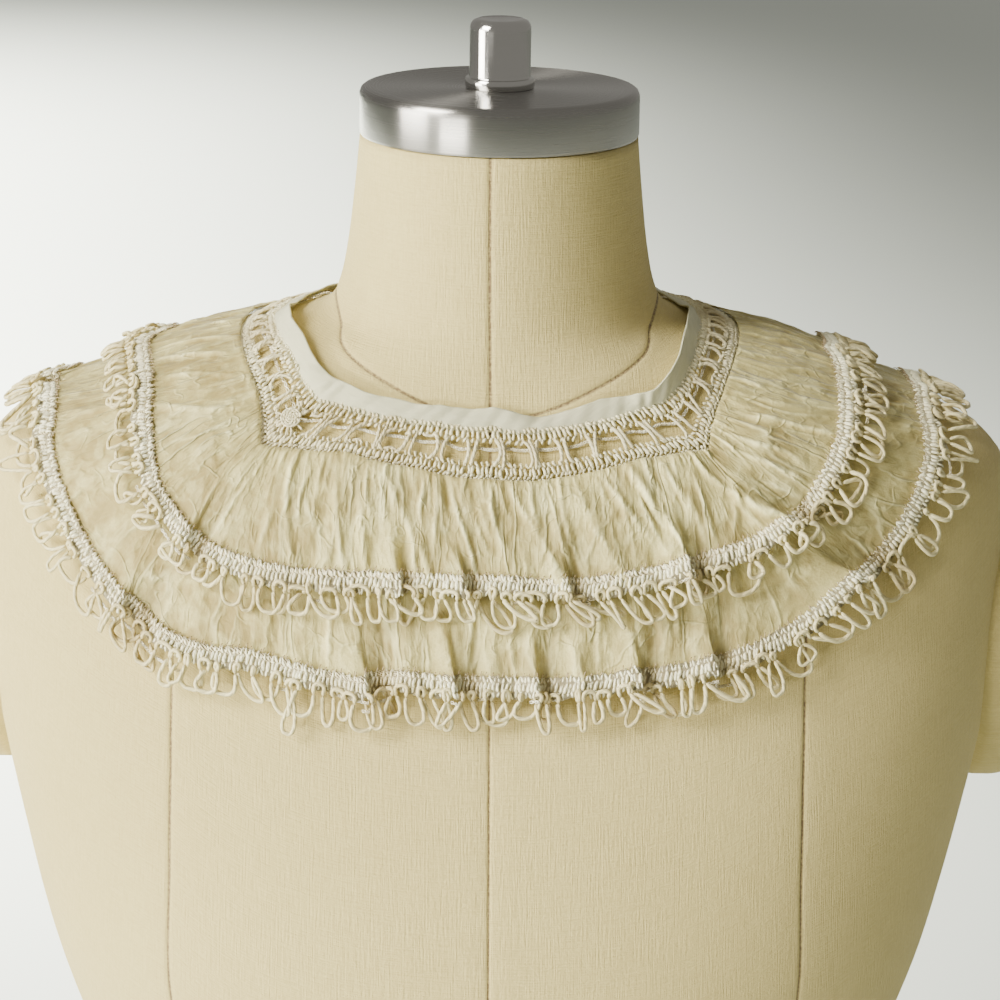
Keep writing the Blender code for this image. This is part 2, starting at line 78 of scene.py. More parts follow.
def smooth(x, xs, ys):
    """Monotone cubic curve through the points (xs, ys), read at x."""
    steps = np.diff(xs)
    slopes = np.diff(ys) / steps
    tangents = np.zeros(len(xs))
    tangents[0] = slopes[0]
    tangents[-1] = slopes[-1]
    for i in range(1, len(xs) - 1):
        if slopes[i - 1] * slopes[i] > 0:
            before = 2 * steps[i] + steps[i - 1]
            after = steps[i] + 2 * steps[i - 1]
            tangents[i] = (before + after) / (before / slopes[i - 1] + after / slopes[i])
    x = np.clip(x, xs[0], xs[-1])
    i = np.clip(np.searchsorted(xs, x) - 1, 0, len(xs) - 2)
    u = (x - xs[i]) / steps[i]
    return ((1 + 2 * u) * (1 - u) ** 2 * ys[i] + u * (1 - u) ** 2 * steps[i] * tangents[i]
            + u * u * (3 - 2 * u) * ys[i + 1] + u * u * (u - 1) * steps[i] * tangents[i + 1])


def form_point(angle, drop):
    """Point of the form at a plan angle in radians and a drop below the side neck point."""
    drops, *columns = np.array(SECTIONS).T
    half_width, front, back, power = (smooth(drop, drops, column) for column in columns)
    depth = np.where(np.cos(angle) > 0, front, back)
    across = np.abs(np.sin(angle)) / half_width
    along = np.abs(np.cos(angle)) / depth
    radius = (across ** power + along ** power) ** (-1 / power)
    height = NECK_POINT - drop + 0 * radius
    return np.stack([radius * np.sin(angle), -radius * np.cos(angle), height], -1)


def unit(vectors):
    return vectors / np.maximum(np.linalg.norm(vectors, axis=-1, keepdims=True), 1e-12)


def run_along(points, axis):
    """Length run from the first point, along one axis of an array of points."""
    steps = np.linalg.norm(np.diff(points, axis=axis), axis=-1)
    first = np.zeros_like(np.take(steps, [0], axis=axis))
    return np.concatenate([first, np.cumsum(steps, axis=axis)], axis=axis)


def neck_seam_drop(angle):
    """Drop of the seam round the root of the neck, lowest at the front."""
    forward = np.cos(angle)
    return np.where(forward > 0, 0.0325 * forward ** 2, -0.004 * forward ** 2) - 0.004


class Contours:
    """Drop of the form's surface for each plan angle and distance from the neck seam."""

    ABOVE_SEAM = .012
    LENGTH = .16
    LOWEST_DROP = .20

    def __init__(self):
        self.angles = np.radians(np.arange(0, 181, 1.0))
        self.distances = np.linspace(-self.ABOVE_SEAM, self.LENGTH, 345)
        rows = []
        for angle in self.angles:
            seam_drop = float(neck_seam_drop(angle))
            drops = np.linspace(seam_drop - self.ABOVE_SEAM, self.LOWEST_DROP, 800)
            run = run_along(form_point(angle + 0 * drops, drops), 0)
            run -= np.interp(seam_drop, drops, run)
            rows.append(np.interp(self.distances, run, drops))
        self.drops = np.array(rows)

    def drop(self, angle, distance):
        wrapped = np.abs((angle + np.pi) % (2 * np.pi) - np.pi)
        column = np.clip(wrapped / self.angles[1], 0, len(self.angles) - 1.001)
        row = (distance - self.distances[0]) / (self.distances[1] - self.distances[0])
        row = np.clip(row, 0, len(self.distances) - 1.001)
        i = column.astype(int)
        j = row.astype(int)
        u = column - i
        v = row - j
        return ((1 - u) * ((1 - v) * self.drops[i, j] + v * self.drops[i, j + 1])
                + u * ((1 - v) * self.drops[i + 1, j] + v * self.drops[i + 1, j + 1]))


CONTOURS = Contours()


def grid_mesh(points, uv, dropped=()):
    """A mesh of quads on an array of points [row, column]; the faces in dropped are left out."""
    rows, columns = points.shape[:2]
    bm = bmesh.new()
    bmesh.ops.create_grid(bm, x_segments=columns - 1, y_segments=rows - 1, size=1)
    bm.faces.ensure_lookup_table()
    if len(dropped):
        bmesh.ops.delete(bm, geom=[bm.faces[i] for i in dropped], context="FACES")
    mesh = bpy.data.meshes.new("grid")
    bm.to_mesh(mesh)
    bm.free()
    mesh.vertices.foreach_set("co", points.astype(np.float32).ravel())
    corners = np.empty(len(mesh.loops), np.int32)
    mesh.loops.foreach_get("vertex_index", corners)
    layer = mesh.uv_layers.new(name="UVMap")
    layer.data.foreach_set("uv", uv.reshape(-1, 2)[corners].astype(np.float32).ravel())
    return mesh


def mark(mesh, name, values):
    """Store one number a point on a mesh, for its material to read."""
    attribute = mesh.attributes.new(name, "FLOAT", "POINT")
    attribute.data.foreach_set("value", values.astype(np.float32).ravel())


def finished(name, meshes, material):
    """One object from several meshes, with the points that meet made one."""
    bm = bmesh.new()
    for mesh in meshes:
        bm.from_mesh(mesh)
    bmesh.ops.remove_doubles(bm, verts=bm.verts, dist=1e-7)
    mesh = meshes[0]
    bm.to_mesh(mesh)
    bm.free()
    mesh.name = name
    mesh.shade_smooth()
    mesh.materials.append(material)
    obj = bpy.data.objects.new(name, mesh)
    bpy.context.scene.collection.objects.link(obj)
    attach(obj, "root")
    return obj


# Seam lines of the cover, each as drops and plan angles: front, princess, side, back princess
# and back.
SEAM_LINES = (
    ((-.065, -2.6), (-.02, -2.0), (.01, -1.3), (.04, -.5), (.08, .1), (.2, .9), (.3, 1.2),
     (.572, 1.2)),
    ((-.065, 62), (.04, 61), (.08, 57), (.12, 52.9), (.16, 50.2), (.20, 48.8), (.24, 48.2),
     (.30, 46), (.395, 42), (.48, 42), (.572, 43)),
    ((-.065, 90), (.572, 90)),
    ((-.065, 118), (.04, 121), (.08, 126), (.16, 132), (.24, 135), (.395, 140), (.572, 138)),
    ((-.065, 180), (.572, 180)))
SEAM_SIDES = (.0004, .0009, .0024)      # columns and rows beside a seam, metres off it
SEAM_CLEAR = .004                       # where the rows beside the neck seam end
OFF_SEAM = .01                          # stands for any place away from the seams
PANEL_COLUMNS = 15
SEAM_DEPTH = .0005
SEAM_SPREAD = .0008
NECK_ROWS = 18
CHEST_ROWS = 76
LOWER_ROWS = 70
CHEST_TOP, CHEST_FOOT = -.0095, .154    # the rows between these keep to the neck seam's curve
PRINCESS_TOP = .03                      # above this only the front and back seams show
HEM_ROUND = .004                        # radius of the lower edge


def torso_rows():
    """The cover's rows in three stretches, neck (-1), chest (0) and lower (1).

    Each row has a share of its own stretch, a distance from the neck seam, and its stretch.
    """
    sides = np.array(SEAM_SIDES)
    chest = np.concatenate([np.linspace(CHEST_TOP, -SEAM_CLEAR, 5), -sides[::-1], [0], sides,
                            np.linspace(SEAM_CLEAR, CHEST_FOOT, CHEST_ROWS)])
    neck = np.linspace(0, 1, NECK_ROWS, endpoint=False)
    lower = np.linspace(0, 1, LOWER_ROWS + 1)[1:]
    share = np.concatenate([neck, 0 * chest, lower])
    distance = np.concatenate([chest[0] + 0 * neck, chest, chest[-1] + 0 * lower])
    stretch = np.repeat((-1, 0, 1), (len(neck), len(chest), len(lower)))
    return share[:, None], distance[:, None], stretch[:, None]


def torso_drop(angle, rows):
    """Drop of every row at an angle round the form."""
    share, distance, stretch = rows
    edge = CONTOURS.drop(angle, distance)
    end = np.where(stretch < 0, NECK_POINT - NECK_TOP, NECK_POINT)
    share = np.where(stretch < 0, 1 - share, share)
    return np.where(stretch == 0, edge, edge + share * (end - edge))


def on_line(line, rows):
    """Angle of a seam line on every row."""
    drops, angles = np.array(line, float).T
    angle = np.radians(angles.mean()) + 0 * rows[0]
    for _ in range(6):
        angle = np.radians(smooth(torso_drop(angle, rows), drops, angles))
    return angle


def torso_columns(rows):
    """Angles of the columns on every row, close together beside the seams, and how far from a
    seam each column stands."""
    front, princess, side, back_princess, back = (on_line(line, rows) for line in SEAM_LINES)
    lines = (-back, -back_princess, -side, -princess, front, princess, side, back_princess, back)
    radius = np.linalg.norm(form_point(side, torso_drop(side, rows))[..., :2], axis=-1)
    beside = np.array((0, *SEAM_SIDES)) / radius
    inner = np.linspace(0, 1, PANEL_COLUMNS + 1)[1:-1]
    angle = []
    from_line = []
    for line, following in zip(lines, lines[1:]):
        first = line + beside
        last = following - beside[:, :0:-1]
        angle += [first, first[:, -1:] + inner * (last[:, :1] - first[:, -1:]), last]
        from_line += [(0, *SEAM_SIDES), OFF_SEAM + 0 * inner, SEAM_SIDES[::-1]]
    angle = np.concatenate([*angle, lines[-1]], axis=1)
    return angle, np.concatenate([*from_line, [0]])[None, :]


def torso_mesh():
    """The cover with its seams sunk in, closed over the neck and across the flat underside."""
    rows = torso_rows()
    angle, from_line = torso_columns(rows)
    points = form_point(angle, torso_drop(angle, rows))
    _, distance, stretch = rows
    seamless = (distance < PRINCESS_TOP) & (np.abs(np.cos(angle)) < .9)
    from_neck_seam = np.where(stretch == 0, np.abs(distance), OFF_SEAM)
    from_seam = np.minimum(np.where(seamless, OFF_SEAM, from_line), from_neck_seam)
    sunk = SEAM_DEPTH * np.exp(-(from_seam / SEAM_SPREAD) ** 2)
    down = np.gradient(points, axis=0)
    across = np.gradient(points, axis=1)
    points = points - sunk[..., None] * unit(np.cross(down, across))
    uv = np.stack([run_along(points, 1), -run_along(points, 0)], -1)
    uv[..., 0] -= uv[:, uv.shape[1] // 2, 0][:, None]
    turns = np.linspace(0, np.pi / 2, 6)[1:]
    rim = points[-1] * (1, 1, 0)
    inward = unit(rim) * HEM_ROUND
    sole = [rim - inward * (1 - np.cos(turn)) + (0, 0, HEM_ROUND * (1 - np.sin(turn)))
            for turn in turns]
    points[-1, :, 2] = HEM_ROUND
    points = np.concatenate([points[:1] * (0, 0, 1), points, sole, points[-1:] * 0])
    uv = np.concatenate([uv[:1], uv, np.repeat(uv[-1:], len(turns) + 1, axis=0)])
    plain = np.full((len(turns) + 1, points.shape[1]), OFF_SEAM)
    from_seam = np.concatenate([plain[:1], from_seam, plain])
    mesh = grid_mesh(points[::-1], uv[::-1])
    mark(mesh, "from_seam", 1000 * from_seam[::-1])     # in millimetres
    return mesh


class Finish:
    """A material under a name; add() puts any node into it, and its Wires do sums."""

    def __init__(self, name, roughness=.8, metallic=0.0):
        self.material = bpy.data.materials.new(name)
        self.material.use_nodes = True
        self.tree = self.material.node_tree
        self.shader = self.tree.nodes["Principled BSDF"]
        self.set(Roughness=roughness, Metallic=metallic)

    def set(self, **sockets):
        for name, value in sockets.items():
            self.join(value, self.shader.inputs[name.replace("_", " ")])

    def join(self, value, socket):
        if isinstance(value, Wire):
            self.tree.links.new(value.socket, socket)
        else:
            socket.default_value = value

    def add(self, kind, settings=(), sockets=(), output=0):
        """One node: its type, its settings, and the values or links of its sockets."""
        node = self.tree.nodes.new("ShaderNode" + kind)
        for name, value in dict(settings).items():
            if name == "stops":
                ramp = node.color_ramp
                for number, (place, colour) in enumerate(value):
                    stop = ramp.elements[number] if number < 2 else ramp.elements.new(place)
                    stop.position = place
                    stop.color = (*colour, 1)
            else:
                setattr(node, name, value)
        for name, value in dict(sockets).items():
            self.join(value, node.inputs[name])
        return Wire(self, node.outputs[output])

    def place(self):
        return self.add("TexCoord", output="Object")

    def cloth_axes(self):
        """Two wires: metres across and down the cloth."""
        node = self.add("SeparateXYZ", sockets={0: self.add("UVMap", {"uv_map": "UVMap"})})
        return node, Wire(self, node.socket.node.outputs[1])

    def noise(self, vector, scale, detail=2.0, roughness=.5):
        return self.add("TexNoise", sockets={"Vector": vector, "Scale": scale, "Detail": detail,
                                             "Roughness": roughness})

    def spot(self, x, y=0.0, z=0.0):
        return self.add("CombineXYZ", sockets={0: x, 1: y, 2: z})

    def clouds(self, scale, detail=2.0, roughness=.5):
        """Noise through the whole piece, scale spots a metre."""
        return self.noise(self.place(), scale, detail, roughness)

    def on_cloth(self, x, y, detail=2.0, roughness=.5):
        """Noise that follows the cloth: x and y are its axes, each times the spots a metre."""
        return self.noise(self.spot(x, y), 1, detail, roughness)

    def mix(self, factor, one, other):
        tint = [c if isinstance(c, Wire) else (*c, 1) for c in (one, other)]
        return self.add("Mix", {"data_type": "RGBA"}, {0: factor, 6: tint[0], 7: tint[1]}, output=2)

    def coated(self, colour, *coats):
        """A colour with others over it, each given as its share and itself."""
        for share, coat in coats:
            colour = self.mix(share, colour, coat)
        return colour

    def stored(self, name):
        return self.add("Attribute", {"attribute_name": name}, output="Fac")

    def relief(self, height, depth, strength=1.0):
        bump = {"Height": height, "Distance": depth, "Strength": strength}
        self.set(Normal=self.add("Bump", sockets=bump))


class Wire:
    """A shader value that goes into sums as a number does."""

    def __init__(self, finish, socket):
        self.finish = finish
        self.socket = socket

    def sum(self, operation, *values):
        return self.finish.add("Math", {"operation": operation}, dict(enumerate(values)))

    def sine(self):
        return self.sum("SINE", self)

    def size(self):
        return self.sum("ABSOLUTE", self)

    def least(self, other):
        return self.sum("MINIMUM", self, other)

    def ramp(self, low, high):
        """0 below low, 1 above high, smooth between."""
        return self.finish.add("MapRange", {"interpolation_type": "SMOOTHSTEP"},
                               {"Value": self, "From Min": low, "From Max": high})

    __add__ = __radd__ = lambda self, other: self.sum("ADD", self, other)
    __mul__ = __rmul__ = lambda self, other: self.sum("MULTIPLY", self, other)
    __sub__ = lambda self, other: self.sum("SUBTRACT", self, other)
    __rsub__ = lambda self, other: self.sum("SUBTRACT", other, self)
    __truediv__ = lambda self, other: self.sum("DIVIDE", self, other)


LINEN = (.71, .592, .245)
LINEN_SLUB = (.60, .485, .19)
LINEN_DARK = (.20, .135, .07)
WEAVE = 2 * np.pi / .00045              # of one warp and one weft thread, radians a metre
SLUB = (90, 1700)                       # thick stretches of a thread: how many a metre, both ways


def linen(name, stitched):
    """Plain weave linen, a little uneven in its threads; a seam shows as a dark hairline."""
    finish = Finish(name, .9)
    u, v = finish.cloth_axes()
    weft, warp = (finish.on_cloth(u * across, v * down, 2)
                  for across, down in (SLUB, SLUB[::-1]))
    slub = (weft + warp - .75) * 2
    grain = finish.clouds(850, 3, .65)
    weave = (u * WEAVE).sine() * (v * WEAVE).sine()
    cloud = finish.clouds(14, 3)
    colour = finish.coated(LINEN, (slub.ramp(.1, 1.0) * .55, LINEN_SLUB),
                           ((weave * .5 + .5) * .18, LINEN_SLUB),
                           (cloud.ramp(.35, .75) * .25 + grain.ramp(.45, .65) * .35, LINEN_SLUB))
    if stitched:
        line = 1 - finish.stored("from_seam").ramp(.25, .95)
        colour = finish.mix(line * (.55 + grain.ramp(.4, .6) * .4), colour, LINEN_DARK)
    finish.set(Base_Color=colour, Sheen_Weight=.15, Sheen_Roughness=.5, Specular_IOR_Level=.25)
    finish.relief(weave * .25 + slub + grain * 1.5, .00022, .8)
    return finish.material


torso = finished("torso", [torso_mesh()], linen("Linen cover", True))
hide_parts("form_torso")

# ================================================================ arm stubs
# A short padded stub closes each armhole, covered in the same linen. It sits a little inside
# the armhole, so a narrow dark gap shows between the cover's edge and the stub.

#                reach, top_drop, bottom_drop, half_depth
ARM_STATIONS = ((.120, .058, .181, .0500),
                (.150, .058, .181, .0500),
                (.188, .062, .181, .0460),
                (.199, .071, .178, .0390),
                (.2045, .084, .170, .0300),
                (.206, .100, .155, .0150))
ARM_BEHIND = .012
ARM_ROOT, ARM_SHOULDER, ARM_TIP = .14, .200, .206   # reaches between which its rows are even
ARM_ROWS = 46
ARM_TIP_ROWS = 15
ARM_COLUMNS = 120
ARM_GAP = .0016                         # how far the stub draws in where it meets the torso
ARM_GAP_WIDTH = .0022


def arm_mesh(side):
    """An oval stub from inside the torso, pinched in where it comes out of the armhole."""
    reach, top, bottom, half_depth = np.array(ARM_STATIONS).T
    turn = np.linspace(0, 2 * np.pi, ARM_COLUMNS + 1)[None, :]
    at = np.concatenate([np.linspace(ARM_ROOT, ARM_SHOULDER, ARM_ROWS),
                         np.linspace(ARM_SHOULDER, ARM_TIP, ARM_TIP_ROWS + 1)[1:]])
    stations = np.linspace(0, 1, len(reach))
    share = np.interp(at, reach, stations)
    top, bottom, half_depth = (smooth(share, stations, column)[:, None]
                               for column in (top, bottom, half_depth))
    middle = NECK_POINT - (top + bottom) / 2
    points = np.stack([at[:, None] + 0 * turn, ARM_BEHIND + half_depth * np.cos(turn),
                       middle + (bottom - top) / 2 * np.sin(turn)], -1)
    axis = points.mean(axis=1, keepdims=True)
    angle = np.arctan2(points[..., 0], -points[..., 1])
    surface = np.linalg.norm(form_point(angle, NECK_POINT - points[..., 2])[..., :2], axis=-1)
    outside = np.linalg.norm(points[..., :2], axis=-1) - surface
    pinch = ARM_GAP * np.exp(-(outside / ARM_GAP_WIDTH) ** 2)
    points = points + pinch[..., None] * unit(axis - points)
    points = np.concatenate([points, axis[-1:] + 0 * points[-1:]])
    uv = points[..., 1:].copy()
    points[..., 0] *= side
    return grid_mesh(points[:, ::side], uv[:, ::side])


for arm_name, side in (("left", -1), ("right", 1)):
    cover = linen("Linen stub " + arm_name, False)
    stub = finished("arm_stub_" + arm_name, [arm_mesh(side)], cover)
    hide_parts("form_arm_" + arm_name)

# ================================================================ neck cap and post
# A spun steel cap, brushed round its band, closes the neck. The chromed post of the stand
# comes up through it in a stepped collar.

CAP_BASE = NECK_TOP + .0003
CAP_HEIGHT = .017
# Profiles from the middle out, up and in again: radius, height.
CAP_PROFILE = (
    (0, 0), (.0490, 0), (.0499, .0003), (.0503, .0012), (.0503, .0130), (.0502, .0148),
    (.0497, .0161), (.0488, .0168), (.0472, .0170), (.0440, .0168), (.0140, .0168), (0, .0168))
POST_BASE = CAP_BASE + CAP_HEIGHT + .0003
POST_PROFILE = (
    (0, -.0004), (.0122, -.0004), (.0125, .0004), (.0125, .0026), (.0121, .0032), (.0112, .0034),
    (.0110, .0040), (.0110, .0205), (.0107, .0222), (.0098, .0234), (.0083, .0240), (.0050, .0237),
    (0, .0236))
ROUND_STEPS = 128
STEEL = (.36, .35, .33)
CHROME = (.58, .57, .55)
SCRATCHES = 5200                        # a metre


def turned_mesh(profile, base):
    """A profile of radii and heights above its base, spun about the upright axis."""
    bm = bmesh.new()
    bm.loops.layers.uv.new("UVMap")
    corners = [bm.verts.new((radius, 0, base + height)) for radius, height in profile]
    edges = [bm.edges.new(pair) for pair in zip(corners, corners[1:])]
    bmesh.ops.spin(bm, geom=corners + edges, axis=(0, 0, 1), cent=(0, 0, 0), angle=2 * np.pi,
                   steps=ROUND_STEPS, use_merge=True)
    bmesh.ops.remove_doubles(bm, verts=bm.verts, dist=1e-6)
    bmesh.ops.recalc_face_normals(bm, faces=bm.faces)
    mesh = bpy.data.meshes.new("turned")
    bm.to_mesh(mesh)
    bm.free()
    return mesh


def darker(colour, share):
    return tuple(share * part for part in colour)


def brushed(name, colour, roughness, grain):
    """Metal with fine scratches that run round it, so a highlight spreads up and down."""
    finish = Finish(name, roughness, 1)
    finish.set(Anisotropic=.9, Anisotropic_Rotation=.25)
    place = finish.place()
    axes = finish.add("SeparateXYZ", sockets={0: place})
    height = Wire(finish, axes.socket.node.outputs[2])
    flat = finish.add("VectorMath", {"operation": "MULTIPLY"}, {0: place, 1: (1, 1, 0)})
    round_it = finish.add("VectorMath", {"operation": "LENGTH"}, {0: flat}, output=1)
    line = finish.spot(height * SCRATCHES, round_it * SCRATCHES, finish.noise(place, 30) * 4)
    scratch = finish.noise(line, 1, 3, .7)
    finish.set(Base_Color=finish.mix(scratch.ramp(.3, .8) * .2, colour, darker(colour, .75)),
               Roughness=roughness + scratch * .12)
    finish.relief(scratch, .00004, grain)
    return finish.material


steel = brushed("Brushed steel", STEEL, .2, .15)
cap = finished("neck_cap", [turned_mesh(CAP_PROFILE, CAP_BASE)], steel)
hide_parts("form_neck_cap")
chrome = brushed("Chrome", CHROME, .06, .05)
post = finished("neck_post", [turned_mesh(POST_PROFILE, POST_BASE)], chrome)
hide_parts("form_neck_post")
for metal in (cap, post):
    metal.data.set_sharp_from_angle(angle=np.radians(40))

# ================================================================ neck binding
# A folded bias strip of soft white voile that finishes the square neckline. Its folded upper
# edge waves a little, and stands off the form at both sides of the neck.

# The collar's seams, line by line: the plan angle that the line has at the neck edge, at the
# insertion and at the hem, then how far below the neck seam each seam crosses it.
#         line, neck, insertion, hem, neck_edge, binding, insertion, upper_hem, lower_hem
SEAMS = ((-90, -90.0, -90.0, -90., 0.0160, .0262, .0383, .0800, .1175),
         (-76, -72.0, -75.0, -83., 0.0155, .0240, .0385, .0785, .1150),
         (-64, -55.0, -60.0, -73., 0.0093, .0193, .0386, .0861, .1235),
         (-61, -51.0, -55.5, -66., 0.0087, .0187, .0418, .0925, .1300),
         (-58, -47.8, -52.8, -58., 0.0085, .0196, .0470, .0920, .1285),
         (-52, -43.5, -48.0, -43., 0.0068, .0163, .0403, .0852, .1143),
         (-38, -33.0, -38.0, -30., 0.0038, .0122, .0303, .0762, .1085),
         (-20, -17.5, -20.0, -15., -.0022, .0056, .0240, .0655, .0990),
         (0.0, 0.0, 0.0, 0.0, -.0040, .0036, .0223, .0622, .0970),
         (20., 17.5, 20.0, 15., 0.0010, .0072, .0260, .0672, .1003),
         (38., 33.5, 38.0, 30., 0.0033, .0124, .0310, .0734, .1060),
         (52., 42.5, 47.5, 43., 0.0075, .0148, .0380, .0785, .1128),
         (58., 46.8, 50.8, 58., 0.0103, .0168, .0425, .0845, .1190),
         (61., 50.5, 53.2, 66., 0.0098, .0175, .0383, .0880, .1232),
         (64., 54.0, 57.0, 73., 0.0095, .0182, .0356, .0865, .1190),
         (76., 67.0, 71.0, 83., 0.0110, .0187, .0340, .0788, .1095),
         (90., 90.0, 90.0, 90., 0.0105, .0180, .0336, .0720, .1073))
NECK_EDGE, BINDING_SEAM, INSERTION_SEAM, UPPER_HEM, LOWER_HEM = range(4, 9)
CORNER = 58.0
BACK_EDGE = 179.4


def seam_row(t):
    """Where a line is read in SEAMS: behind the shoulders the front's rows come again."""
    return np.sign(t) * np.minimum(np.abs(t), 180 - np.abs(t))


def seam(t, column):
    """How far below the neck seam a seam crosses the lines t."""
    table = np.array(SEAMS).T
    read = smooth if column in (UPPER_HEM, LOWER_HEM) else np.interp
    return read(seam_row(t), table[0], table[column])


def plan_angle(t, distance):
    """Plan angle of the lines t, which turn at the insertion on their way from neck to hem."""
    table = np.array(SEAMS).T
    angles = [read(seam_row(t), table[0], table[column])
              for column, read in enumerate((np.interp, np.interp, smooth), 1)]
    at_neck, at_insertion, at_hem = (np.where(np.abs(t) > 90, np.sign(t) * 180 - angle, angle)
                                     for angle in angles)
    neck, insertion, hem = (seam(t, column) for column in (NECK_EDGE, INSERTION_SEAM, LOWER_HEM))
    above = np.clip((distance - neck) / (insertion - neck), 0, 1)
    below = np.maximum((distance - insertion) / (hem - insertion), 0)
    degrees = at_neck + (at_insertion - at_neck) * above + (at_hem - at_insertion) * below
    return np.radians(degrees)


def surface_point(angle, distance):
    return form_point(angle, CONTOURS.drop(angle, distance))


def collar_place(t, distance, lift):
    """Point of the collar and the form's outward direction there."""
    angle = plan_angle(t, distance)
    turn = np.radians(0.5)
    step = 0.001
    across = surface_point(angle + turn, distance) - surface_point(angle - turn, distance)
    down = surface_point(angle, distance + step) - surface_point(angle, distance - step)
    outward = unit(np.cross(down, across))
    return surface_point(angle, distance) + outward * np.asarray(lift)[..., None], outward


def seam_run(t, column):
    """Length run along a seam, from the first of the lines t."""
    return run_along(collar_place(t, seam(t, column), 0 * t)[0], 0)


def spread(count, columns, t_from=-BACK_EDGE, t_to=BACK_EDGE):
    """count + 1 values of t, evenly spaced along the mean of the seams in columns."""
    t = np.linspace(t_from, t_to, 2400)
    run = sum(seam_run(t, column) for column in columns)
    return np.interp(np.linspace(0, run[-1], count + 1), run, t)


def bumps(t, table):
    """Sum of soft swellings, each with its line, half width in degrees and height."""
    total = 0 * t
    for angle, half_width, height in table:
        total = total + height * np.exp(-((t - angle) / half_width) ** 2)
    return total


def waves(t, count, seed, height):
    """A wandering line round the collar: nine unrelated waves, up to count of each round it."""
    rng = np.random.default_rng(seed)
    total = 0 * t
    draws = (rng.uniform(low, high, 9) for low, high in ((count * .3, count), (0, 7), (.5, 1)))
    for number, phase, size in zip(*draws):
        total = total + size * np.sin(np.radians(t) * number + phase)
    return total * height / 2.2


BINDING_COLUMNS = 520
BINDING_ROWS = 15
BINDING_THICK = .0005
BINDING_LIFT = .0012
BINDING_FLARE = .0056                   # how far its edge stands off beside the neck
BINDING_TUCK = .0012                    # of its lower edge, behind the insertion's rail
BINDING_ROLL = .0005                    # the fold's soft swell
SIDE_SLACK = .0020                      # how much lower its edge has stretched at the sides
# Where the strip puckers at the corners: line, half width, height.
CORNER_PUCKERS = (
    (-61, 1.1, .0010), (-57.5, .9, .0012), (-54, 1.2, .0008), (53, 1.2, .0009), (57, .9, .0013),
    (61.5, 1.1, .0010), (-122, 1.0, .0011), (122, 1.0, .0011), (117, 1.2, .0007),
    (-127, 1.2, .0007))
VOILE = (.69, .68, .45)
VOILE_SHADE = (.56, .54, .37)


def binding_mesh():
    """The strip, from its rolled upper edge to its lower edge behind the insertion."""
    t = spread(BINDING_COLUMNS, (NECK_EDGE, BINDING_SEAM))[None, :]
    share = np.linspace(0, 1, BINDING_ROWS)[::-1, None]
    slack = SIDE_SLACK * np.abs(np.sin(np.radians(t)))
    top = seam(t, NECK_EDGE) + waves(t, 26, seed=11, height=.0004) + slack
    bottom = seam(t, BINDING_SEAM) + BINDING_TUCK
    distance = top + share * (bottom - top)
    beside = np.sin(np.radians(np.abs(t))) ** 4 * np.interp(np.abs(t), (80, 98), (1, .1))
    puckers = bumps(t + 3 * share, CORNER_PUCKERS) * (1 - (2 * share - .9) ** 2).clip(0, 1)
    lift = BINDING_LIFT + BINDING_FLARE * beside * (1 - share) ** 1.5 + puckers
    lift = lift + waves(t + 6 * share, 60, seed=12, height=.00022)
    lift = lift + BINDING_ROLL * np.sin(np.pi * np.clip(share * 1.1, 0, 1))
    lift = lift + waves(t, 14, seed=13, height=.0007) * (1 - share) ** 2
    points, _ = collar_place(t + 0 * share, distance, lift)
    return grid_mesh(points, np.stack([run_along(points, 1), distance], -1))


def voile():
    """Fine soft plain cotton, two layers thick, white turned a little grey."""
    finish = Finish("White voile", .85)
    u, v = finish.cloth_axes()
    crease = finish.on_cloth(u * 160, v * 420, 3, .6)
    cloud = finish.clouds(40, 2)
    colour = finish.mix(crease.ramp(.35, .7) * .5 + cloud.ramp(.4, .7) * .3, VOILE, VOILE_SHADE)
    finish.set(Base_Color=colour, Alpha=.80 + crease.ramp(.4, .7) * .15, Sheen_Weight=.2)
    finish.relief(crease, .0006, .5)
    return finish.material


def thicken(obj, thickness):
    """Give a sheet its thickness, outwards."""
    wall = obj.modifiers.new("Wall", "SOLIDIFY")
    wall.thickness = thickness
    wall.offset = 1


binding = finished("binding", [binding_mesh()], voile())
thicken(binding, BINDING_THICK)
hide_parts("neck_binding")

# ================================================================ crochet insertion
# Five lengths of cotton lace round the square neck, mitred at the corners: two dense rails of
# ribbed stitches, and between them strands worked in pairs that leave a row of open holes. A
# fine shiny chain runs through behind the strands.

INSERTION_LIFT = .0013
OVER_BINDING = .0014                    # how far the lace lies over the binding's edge
SHORT_OF_TIERS = .0002
RAIL = .31                              # share of the width that each rail takes
COTTON = (.84, .79, .51)
COTTON_SHADE = (.44, .34, .17)
# Painted shade: the brown that darkens the strands and the hem's recesses.
PAINTED_SHADE_BROWN = (.40, .30, .125)
CHAIN_PALE = (.92, .88, .68)
CHAIN_SHADE = (.66, .58, .36)
PLY = .0021                             # length of thread in which its two plies turn once
RIB_RINGS = 6


def threads(centres, outward, radius, sides):
    """A mesh of round threads: centres is [thread, ring], and each thread closes at both ends."""
    count, rings = centres.shape[:2]
    along = unit(np.gradient(centres, axis=1))
    across = unit(np.cross(outward, along))
    upward = np.cross(along, across)
    radius = np.broadcast_to(radius, (count, rings)).copy()
    radius[:, [0, -1]] = 0
    turn = np.linspace(0, 2 * np.pi, sides + 1)[:, None]
    around = np.cos(turn) * across[:, :, None] + np.sin(turn) * upward[:, :, None]
    points = centres[:, :, None] + radius[..., None, None] * around
    length = run_along(centres, 1)[..., None] + 0 * turn[:, 0]
    uv = np.stack([turn[:, 0] / (2 * np.pi) + 0 * length, length], -1)
    joins = [(end * rings - 1) * sides + side for end in range(1, count) for side in range(sides)]
    return grid_mesh(points.reshape(count * rings, sides + 1, 3), uv, joins)


